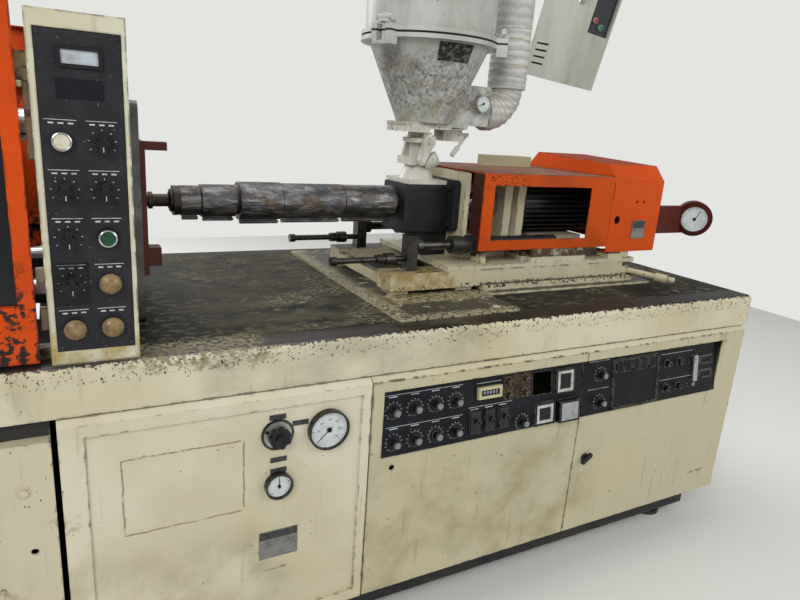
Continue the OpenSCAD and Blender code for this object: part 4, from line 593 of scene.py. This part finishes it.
piece("right_plate_knob_caps", r_caps, knob_grey, "right_control_door")
piece("right_plate_cards", r_tabs, pale_card, "right_control_door")
piece("right_plate_panes", r_black, window_black, "right_control_door")
piece("right_plate_slot_frames", r_white, frame_white, "right_control_door")


# Clamp unit: machined cast platens, oily and brown in the corners, hard-chromed tie bars
# and ram, a turned cylinder, and the ejector.
def oily_steel(name, shade, oil, rough=0.4, metal=0.75, size=0.08):
    """Bare machined steel with a brown film of oil and dust, and darker blots."""
    coat = undercoat(name, shade, rough, metal)
    tree = coat["tree"]
    film = patches(tree, size, 0.40, 0.72, detail=5.0)
    layer(coat, film, oil, rough + 0.15, metal * 0.5)
    layer(coat, patches(tree, size / 5, 0.62, 0.75, seed=2.0), "#1d1b18", 0.5, 0.2)
    return coat


platen_steel = seal(oily_steel("machined_cast_platen", "#6e6f70", "#4a4438"))
dress(platen_steel, "fixed_platen", "moving_platen", "end_platen")
dress(seal(oily_steel("turned_cylinder_steel", "#5a5b5c", "#3b372f")), "clamp_cylinder", "ejector")
chrome = finish("hard_chrome", "#b9bbbd", 0.16, 1.0, "#8f8c86", 0.05)
dress(chrome, "tie_bars", "clamp_ram", "injection_ram")


# Guards and sliding safety doors: folded sheet in orange enamel, chipped to black along
# the edges and low down, hung on cream rails that are brown with grease.
def orange_enamel(name, shade, deep, chips=0.6, grime=0.5):
    """Sprayed orange enamel on sheet steel: satin, with brown smears, specks and chipped edges."""
    coat = undercoat(name, shade, 0.45)
    tree = coat["tree"]
    layer(coat, patches(tree, 0.25, 0.42, 0.75), deep, 0.45)
    layer(coat, both(tree, patches(tree, 0.06, 0.64 - 0.12 * grime, 0.9, stretch=(1, 1, 0.4), detail=5.0),
                     patches(tree, 0.4, 0.4, 0.7, seed=2.2)), "#6b3a22", 0.6)
    layer(coat, patches(tree, 0.010, 0.735 - 0.04 * chips, 0.75, detail=3.0, seed=4.0), "#2a1a14", 0.5)
    edge = corners(tree, 0.006, 0.99, 0.9)
    layer(coat, both(tree, edge, patches(tree, 0.03, 0.56 - 0.1 * chips, 0.66 - 0.1 * chips, detail=6.0)),
          "#2b201b", 0.45, lift=-0.0003)
    return coat


low_shine = {"Specular IOR Level": 0.16}
door_orange = orange_enamel("orange_enamel_door", "#cc4a12", "#b53f0e", 0.9)
chipped = door_orange["tree"]
layer(door_orange, both(chipped, within(chipped, (-2.3, -0.6, 0.9), (0, 0.6, 1.03), 0.1),
                        patches(chipped, 0.02, 0.48, 0.54, detail=5.0)), "#2d2621", 0.5)
dress(seal(door_orange, **low_shine), "front_door", "rear_door")
dress(seal(orange_enamel("orange_enamel_guard", "#c64812", "#ad3f10", 0.5), **low_shine), "clamp_guard")
dark_pane = finish("smoked_pane", "#14171a", 0.08, worn="#24262a", size=0.2)
dress(dark_pane, "front_window")
rail = undercoat("greasy_cream_rail", "#b9b28f", 0.4)
rail_tree = rail["tree"]
layer(rail, patches(rail_tree, 0.10, 0.42, 0.68, detail=5.0), "#8a7d52", 0.5)
layer(rail, both(rail_tree, within(rail_tree, (-2.3, -0.6, 0.8), (0.2, 0.6, 1.6), 0.2),
                 patches(rail_tree, 0.03, 0.5, 0.62, detail=5.0)), "#463a26", 0.45)
dress(seal(rail), "door_rails")


# Control column: welded from sheet steel in cream enamel, with a sunk violet-black face, a
# card holder, a blank display pane and thin white screened lines round the switches.
column = cream_enamel("cream_enamel_column", "#cdcab4", grime=0.55, chips=1.6)
column_skin = column["tree"]
low_strip = both(column_skin, within(column_skin, (-0.2, -0.6, 0.88), (0.1, -0.3, 0.96), 0.03),
                 patches(column_skin, 0.05, 0.4, 0.62, detail=5.0))
layer(column, low_strip, "#a08f55", 0.5)
face_mask = within(column_skin, (-0.0983, -0.502, 0.9277), (0.0413, -0.40, 1.5193), 0.0004)
layer(column, face_mask, "#1c1b20", 0.45)
worn_face = both(column_skin, face_mask, patches(column_skin, 0.05, 0.42, 0.78, detail=5.0))
layer(column, worn_face, "#2c2b31", 0.5)
layer(column, both(column_skin, face_mask, patches(column_skin, 0.006, 0.68, 0.72)), "#77747a", 0.6)
card_frame = within(column_skin, (-0.0665, -0.52, 1.4545), (0.0105, -0.5004, 1.4935), 0.0004)
layer(column, card_frame, "#1b1b20", 0.3)
display = within(column_skin, (-0.0685, -0.52, 1.4035), (0.0085, -0.5004, 1.4375), 0.0004)
layer(column, display, "#10131c", 0.1)
switch_x, switch_z = (-0.0655, 0.0015), (1.328, 1.239, 1.150, 1.061, 0.972)
bezels = ((switch_x[0], switch_z[0]), (switch_x[1], switch_z[2]))
for x, z in bezels:
    bezel = within(column_skin, (x - 0.0215, -0.53, z - 0.0215), (x + 0.0215, -0.5009, z + 0.0215), 0.0002)
    layer(column, bezel, "#151518", 0.3)
dress(seal(column), "control_column")
column_face = on_front(-0.5005)
legends, card, rear_plate, screws = (bmesh.new() for i in range(4))
block(card, (-0.058, -0.5035, 1.4625), (0.002, -0.5015, 1.4865))
selectors = [(1, 0), (0, 1), (1, 1), (0, 2), (0, 3)]  # the side and row of each rotary selector
for n, z in enumerate(switch_z):
    for side, x in enumerate(switch_x):
        stroke(legends, column_face, (x - 0.026, z + 0.0385), (x + 0.026, z + 0.0385), 0.0011, 0, 0.0005)
        for k in range(3):
            word_x = x - 0.020 + k * 0.016
            stroke(legends, column_face, (word_x, z + 0.0325), (word_x + 0.009, z + 0.0325),
                   0.0026, 0, 0.0005)
        if (side, n) in selectors:
            ticks(legends, column_face, x, z, 0.0215, 0.0250, 0.0012, 7, 210, -30, 0, 0.0005)
for x in (-0.0915, 0.0345):
    for z in (0.936, 1.511):
        disc(screws, column_face, x, z, 0.0042, 0, 0.0022, 16)
block(rear_plate, (-0.0965, -0.5010, 1.020), (-0.0345, -0.5004, 1.104))
piece("column_lines", legends, screen_white, "machine")
piece("column_card", card, finish("bluish_card", "#b4bcc4", 0.6, worn="#949a9e", size=0.02), "machine")
piece("column_switch_plate", rear_plate, window_black, "machine")
piece("column_screws", screws, case_steel, "machine")


def lathe(shape, at, outline, steps=48):
    """Spins a closed outline of (radius, height) points round the axis of a face."""
    known = set(shape.verts)
    verts = [shape.verts.new((r, -h, 0)) for r, h in outline]
    edges = [shape.edges.new((a, b)) for a, b in zip(verts, verts[1:] + verts[:1])]
    bmesh.ops.spin(shape, geom=verts + edges, cent=(0, 0, 0), axis=(0, 1, 0), angle=2 * pi,
                   steps=steps, use_merge=True)
    bmesh.ops.transform(shape, matrix=at, verts=[v for v in shape.verts if v not in known])


rings = bmesh.new()
for x, z in bezels:
    lathe(rings, on_front(-0.508, x, z), [(0.0134, -0.0002), (0.0134, 0.0018), (0.0145, 0.0022),
                                          (0.0166, 0.0014), (0.0170, -0.0002)])
piece("button_rings", rings, chrome, "machine")

# Column switches: black knobs with a white pointer line, push buttons in chrome rings, and
# domed buttons whose amber plastic has gone brown and scratched.
for n, (side, level_n) in enumerate(selectors, 1):
    x, z = switch_x[side], switch_z[level_n]
    pointer = bmesh.new()
    stroke(pointer, on_front(-0.5246), (x, z - 0.015), (x, z - 0.006), 0.0014, 0, 0.0005)
    piece("selector_%d_pointer" % n, pointer, screen_white, "selector_%d" % n)
    dress(black_plastic, "selector_%d" % n)
dress(finish("yellowed_white_lens", "#d6d3c2", 0.25, worn="#b5ac86", size=0.02), "white_button")
dress(finish("dark_green_lens", "#1c4a33", 0.2, worn="#0f2c1f", size=0.015), "green_button")
amber = undercoat("worn_amber_plastic", "#8d7550", 0.22)
layer(amber, patches(amber["tree"], 0.015, 0.42, 0.7, detail=5.0), "#5f4e38", 0.45)
layer(amber, patches(amber["tree"], 0.004, 0.6, 0.7), "#b59a6a", 0.35)
dress(seal(amber), "mushroom_1", "mushroom_2", "mushroom_3")

# Nozzle guard: bent plate in brown-red enamel, dark with old plastic and grease.
guard_red = orange_enamel("dark_red_enamel", "#5c2b1c", "#3d1c12", 0.9, 0.9)
dress(seal(guard_red), "nozzle_guard")

# Injection unit's base with its deck plate: cream enamel, dark and greasy on top, worn to
# flakes along the plate's rims and oily at the near end. Greasy rods, cylinders in black paint.
base_paint = cream_enamel("cream_enamel_greasy_top", "#c3bb9d", grime=0.9, chips=0.9)
base_tree = base_paint["tree"]
flat_top = facing_up(base_tree, 0.7, 0.9)
layer(base_paint, both(base_tree, flat_top, patches(base_tree, 0.05, 0.30, 0.42, detail=5.0)), "#34302a", 0.4)
layer(base_paint, both(base_tree, flat_top, patches(base_tree, 0.03, 0.56, 0.7, seed=3.0)), "#6d6449", 0.5)
fine = patches(base_tree, 0.006, 0.47, 0.53, stretch=(0.6, 1, 1), detail=3.0, seed=6.0)
worn_rim = either(base_tree, within(base_tree, (0.60, -0.50, 0.905), (0.715, 0.5, 0.91), 0.03),
                  within(base_tree, (0.60, -0.50, 0.905), (1.10, -0.425, 0.91), 0.012))
worn_rim = either(base_tree, worn_rim, within(base_tree, (0.76, -0.31, 0.905), (1.10, -0.24, 0.91), 0.015))
layer(base_paint, both(base_tree, worn_rim, fine), "#9a9273", 0.6)
low_edges = either(base_tree, within(base_tree, (0.60, -0.45, 0.898), (1.10, -0.4457, 0.9078), 0.0004),
                   within(base_tree, (0.75, -0.28, 0.918), (1.76, -0.20, 0.932), 0.004))
layer(base_paint, both(base_tree, low_edges, patches(base_tree, 0.009, 0.54, 0.58, detail=3.0, seed=4.0)),
      "#2b251d", 0.5)
oil = within(base_tree, (0.75, -0.28, 0.93), (0.98, -0.15, 0.975), 0.03)
layer(base_paint, both(base_tree, oil, patches(base_tree, 0.04, 0.36, 0.6, detail=4.0)), "#9a8550", 0.35)
dress(seal(base_paint), "injection_base")
dress(finish("greasy_rod", "#4a4844", 0.25, 0.9, "#25221d", 0.05), "carriage_rods")
black_oily = finish("black_oily_paint", "#1f2122", 0.35, worn="#35302a", size=0.05, edge="#55504a")
dress(black_oily, "carriage_cylinders", "drive_motor")

# Carriage, its feed block, and the housing of the screw's drive.
sled_paint = cream_enamel("cream_enamel_sled", "#c4bda2", grime=0.7, chips=0.7)
sled_tree = sled_paint["tree"]
# A dark brown band in patches along the top of the sled, under the side cover: partly grease, partly painted
# shade.
layer(sled_paint, both(sled_tree, within(sled_tree, (1.0, -0.5, 1.006), (1.7, 0.5, 1.035), 0.003),
                       patches(sled_tree, 0.04, 0.3, 0.5)), "#45351f", 0.5)
dress(seal(sled_paint), "carriage", "injection_housing")
dress(seal(oily_steel("oily_cast_iron", "#2a2d2f", "#1d1c1a", 0.45, 0.5)), "feed_block")

# Barrel, nozzle and screw: heat-tinted steel. The ceramic band heaters round the barrel
# have sheet-steel jackets with clamping ears and a terminal post each.
barrel_steel = oily_steel("heat_tinted_barrel", "#4f4b46", "#3a2f26", 0.38, 0.85, 0.05)
dress(seal(barrel_steel), "barrel", "nozzle")
band_steel = undercoat("heater_band_jacket", "#65666b", 0.34, 0.9)
band_tree = band_steel["tree"]
layer(band_steel, patches(band_tree, 0.05, 0.40, 0.7, detail=5.0), "#3b3b3e", 0.45)
scuffed = patches(band_tree, 0.03, 0.48, 0.62, stretch=(0.5, 1, 2), detail=6.0, seed=9.0)
layer(band_steel, scuffed, "#8d8b87", 0.3, lift=0.0012)
layer(band_steel, patches(band_tree, 0.04, 0.52, 0.72, seed=2.0), "#5c4632", 0.55, 0.4)
layer(band_steel, patches(band_tree, 0.010, 0.66, 0.74, seed=6.0), "#1e1b18", 0.6, 0.2)
dress(seal(band_steel), "heater_bands")
dress(finish("polished_screw_steel", "#9a9a98", 0.22, 1.0, "#6d675e", 0.05), "screw")

# Covers of the injection unit: orange enamel. The side cover is brown with dust on top and has painted shade
# inside its folded walls, and the hood is the cleanest orange of all, with painted shade on its top.
cover = orange_enamel("orange_enamel_cover", "#c04800", "#9a3a08", 0.8, 0.8)
cover_tree = cover["tree"]
cover_up = facing_up(cover_tree, 0.6)
layer(cover, cover_up, "#87604c", 0.6)
layer(cover, both(cover_tree, cover_up, patches(cover_tree, 0.06, 0.45, 0.7, detail=5.0)), "#6e4a3a", 0.7)
layer(cover, both(cover_tree, within(cover_tree, (1.06, -0.24, 1.24), (1.24, -0.10, 1.285), 0.02),
                  patches(cover_tree, 0.006, 0.56, 0.62, stretch=(0.5, 1, 1), detail=5.0)), "#1c1715", 0.5)
layer(cover, within(cover_tree, (1.335, 0.13, 1.2745), (1.55, 0.21, 1.33), 0.0005), "#b5ad8c", 0.5)
# Painted shade: the cover's folded end wall is painted dark brown all through.
layer(cover, within(cover_tree, (1.05, -0.226, 1.0), (1.0785, 0.24, 1.27), 0.003), "#40201a", 0.55)
dress(seal(cover, **low_shine), "side_cover")
hood = orange_enamel("orange_enamel_hood", "#cc4a00", "#b84200", 0.5, 0.35)
# The hood's upward faces are painted a darker orange: painted shade.
layer(hood, facing_up(hood["tree"], 0.6), "#86300a", 0.6)
dress(seal(hood, **low_shine), "rear_hood")
bare_plate("hood_bare_plate", (1.735, -0.2345, 1.060), (1.800, -0.2338, 1.125),
           (1.737, -0.2350, 1.097), (1.798, -0.2344, 1.123), "carriage")
# Gauge arm: red-brown enamel, painted dark all over as painted shade.
dress(seal(orange_enamel("red_enamel_arm_painted_shade", "#521505", "#3a0f04", 0.7, 0.6), **low_shine), "gauge_arm")

# Hopper and its dryer: pale enamel with soft vertical streaks and dust, rusty low on the
# cone, a white cast gate, and a pipe wound with white tape over its lagging.
def hopper_enamel(name, shade, streak, rust=0.0):
    """Pale enamel with upright streaks, dust and specks, and rust low on the hopper's cone."""
    coat = undercoat(name, shade, 0.36)
    tree = coat["tree"]
    layer(coat, patches(tree, 0.06, 0.44, 0.72, stretch=(1, 1, 0.12)), streak, 0.42)
    layer(coat, patches(tree, 0.3, 0.5, 0.8, seed=1.0), "#8d8c82", 0.5)
    layer(coat, patches(tree, 0.008, 0.70, 0.74, detail=2.0, seed=3.0), "#5b564c", 0.6)
    if rust:
        low = within(tree, (0.7, -0.3, 1.38), (1.25, 0.3, 1.56), 0.08)
        layer(coat, both(tree, low, patches(tree, 0.05, 0.52 - 0.1 * rust, 0.75, detail=5.0)), "#76695a", 0.6)
        layer(coat, both(tree, low, patches(tree, 0.015, 0.60, 0.68, detail=6.0, seed=5.0)), "#463e36", 0.6)
        scab = within(tree, (0.7, -0.3, 1.46), (1.25, 0.3, 1.57), 0.05)
        layer(coat, both(tree, scab, patches(tree, 0.012, 0.46, 0.66, detail=6.0, seed=11.0)), "#6f6b68", 0.6)
        layer(coat, both(tree, within(tree, (0.7, -0.3, 1.405), (1.06, 0.3, 1.455), 0.03),
                         patches(tree, 0.03, 0.42, 0.75, detail=5.0)), "#9c9677", 0.6)
    return coat


hopper_coat = hopper_enamel("pale_grey_enamel", "#bcbfba", "#a5a8a3", 0.8)
gasket = within(hopper_coat["tree"], (0.7, -0.3, 1.6502), (1.25, 0.3, 1.6558), 0.0003)
layer(hopper_coat, gasket, "#2b2c2c", 0.7)
dress(seal(hopper_coat), "hopper", "hopper_lid")
gate_coat = hopper_enamel("white_cast_gate", "#cfcdc2", "#b3b0a2", 0.4)
dress(seal(gate_coat), "hopper_base")
dress(seal(hopper_enamel("grey_green_enamel", "#a9aca0", "#94978b")),
      "blower", "switch_box", "switch_box_door")
tape = undercoat("wound_white_tape", "#c9cac8", 0.75)
tape_tree = tape["tree"]
turns = put(tape_tree, "TexWave", 0, {"Vector": put(tape_tree, "TexCoord", 3), "Scale": 12.0,
                                      "Distortion": 5.0, "Detail": 4.0}, bands_direction="Z")
layer(tape, turns, "#b0b0ad", 0.8, lift=0.0012)
layer(tape, patches(tape_tree, 0.1, 0.45, 0.75), "#9f9e99", 0.8)
dress(seal(tape), "hot_air_pipe")


def dial(name, at, radius, body, count, hand):
    """A round white dial with its scale, pointer and glass, in a gauge's case."""
    a, low = radians(hand), gauge_floor
    shapes = [bmesh.new() for i in range(4)]
    disc(shapes[0], at, 0, 0, radius, low, low + ink)
    ticks(shapes[1], at, 0, 0, radius * 0.80, radius * 0.94, radius * 0.03, count, 225, -45,
          low, low + 0.001)
    stroke(shapes[2], at, (-0.2 * radius * cos(a), -0.2 * radius * sin(a)),
           (0.8 * radius * cos(a), 0.8 * radius * sin(a)), radius * 0.05, low + 0.0022, low + 0.003)
    disc(shapes[2], at, 0, 0, radius * 0.13, low, low + 0.0043, 24)
    disc(shapes[3], at, 0, 0, radius, gauge_top - 0.0016, gauge_top - 0.0008)
    for part, shape, material, slot in zip(("dial", "scale", "pointer", "glass"), shapes,
                                           (dial_white, print_black, print_black, gauge_glass),
                                           ("white_plastic", "gauge_metal", "gauge_metal", "window_pane")):
        piece(name + "_" + part, shape, material, body)


# Dial of the back pressure gauge at the end of the maroon arm, and of the thermometer in the
# hopper's inlet box.
drum_face = Matrix.Translation((2.069, -0.230, 1.127)) @ Matrix.Rotation(radians(-45), 4, "Z")
dial("arm_gauge", drum_face, 0.0465, "carriage", 21, 60)
inlet_face = Matrix.Translation((1.156, -0.052, 1.481))
dial("inlet_gauge", inlet_face, 0.0255, "carriage", 13, 200)

# Remnant of a thin dark plate, bare, curved round the front of the hopper's cone: a patch
# of sheet 0.6 mm thick, rubbed through to grey.
hopper_axis, cone_foot, cone_slope = 0.973, (0.088, 1.410), 0.098 / 0.228


def on_cone(turn, z, proud):
    """A point proud metres off the hopper's cone, at a turn in degrees and a height."""
    r = cone_foot[0] + (z - cone_foot[1]) * cone_slope + proud
    return hopper_axis + r * cos(radians(turn)), r * sin(radians(turn)), z


remnant = bmesh.new()
rows = [[remnant.verts.new(on_cone(-111 + 4 * i, 1.585 + 0.0125 * j, 0.0012)) for i in range(10)]
        for j in range(5)]
for low_row, high_row in zip(rows, rows[1:]):
    for i in range(9):
        remnant.faces.new((low_row[i], low_row[i + 1], high_row[i + 1], high_row[i]))
bmesh.ops.solidify(remnant, geom=remnant.faces[:], thickness=0.0006)
remnant_tin = undercoat("rubbed_dark_remnant", "#3b3c37", 0.6)
layer(remnant_tin, patches(remnant_tin["tree"], 0.014, 0.50, 0.56, detail=5.0), "#83867f", 0.5)
piece("cone_remnant_plate", remnant, seal(remnant_tin), "carriage")

# Twine wound round the lower riser and the elbow of the hot-air pipe, over the tape.
twine = bmesh.new()
pipe_x, riser_foot, bend, riser_r, elbow_tube, cord_r = 1.286, 1.538, 0.086, 0.064, 0.054, 0.0017
upright_axis = Matrix.Rotation(radians(90), 4, "X")


def cord_ring(r):
    """The round section of the twine, at a radius from the axis that it is wound on."""
    return [(r + cord_r * cos(pi / 3 * k), cord_r * sin(pi / 3 * k)) for k in range(6)]


for i in range(9):
    lean = (Matrix.Rotation(radians(5 * sin(2.1 * i)), 4, "Y")
            @ Matrix.Rotation(radians(7 * cos(1.7 * i)), 4, "X"))
    height = riser_foot + 0.018 + 0.021 * i + 0.006 * sin(3.3 * i)
    at = Matrix.Translation((pipe_x, 0, height)) @ lean @ upright_axis
    lathe(twine, at, cord_ring(riser_r + 0.0006), 40)
for i in range(7):
    turn = radians(-8 - 11.5 * i)
    at = (Matrix.Translation((pipe_x - bend + bend * cos(turn), 0, riser_foot + bend * sin(turn)))
          @ Matrix.Rotation(-turn + 0.06 * sin(2.3 * i), 4, "Y") @ upright_axis)
    lathe(twine, at, cord_ring(elbow_tube + 0.0004), 40)
piece("pipe_twine", twine, finish("grubby_twine", "#c9c4b0", 0.8, worn="#8d856c", size=0.02), "carriage",
      sharp=80)


# Switch box of the dryer, which hangs askew from the blower: its sunk panel is dark, with a
# black switch block, a green and a red lamp cap, and a worn chrome latch on the door.
askew = (Matrix.Rotation(radians(3), 4, "Z") @ Matrix.Rotation(radians(5.4), 4, "Y")
         @ Matrix.Rotation(radians(10.5), 4, "X"))
hung = Matrix.Translation((1.462, -0.100, 1.567)) @ askew
sunk, block_front, red_cap, green_cap, latch = (bmesh.new() for i in range(5))
block(sunk, (0.0145, 0.0100, 0.1706), (0.1115, 0.0109, 0.3765), at=hung)
block(block_front, (0.0485, 0.0012, 0.2905), (0.0895, 0.0019, 0.3235), at=hung)
disc(red_cap, hung, 0.040, 0.212, 0.0078, -0.0030, -0.0012, 24)
disc(green_cap, hung, 0.072, 0.196, 0.0078, -0.0030, -0.0012, 24)
block(latch, (-0.0262, 0.0255, 0.2520), (-0.0238, 0.0385, 0.2880), 0.0008, hung)
piece("switch_box_sunk_panel", sunk,
      finish("dark_blue_grey_panel", "#23272c", 0.5, worn="#34383b", size=0.03), "carriage")
piece("switch_box_switch_block", block_front, window_black, "carriage")
piece("switch_box_green_cap", green_cap, finish("green_lens", "#1d6b43", 0.25, worn="#154c31"), "carriage")
piece("switch_box_red_cap", red_cap, finish("red_lens", "#a8281f", 0.25, worn="#7a1f19"),
      "carriage")
piece("switch_box_latch_face", latch, chrome, "switch_box_door")
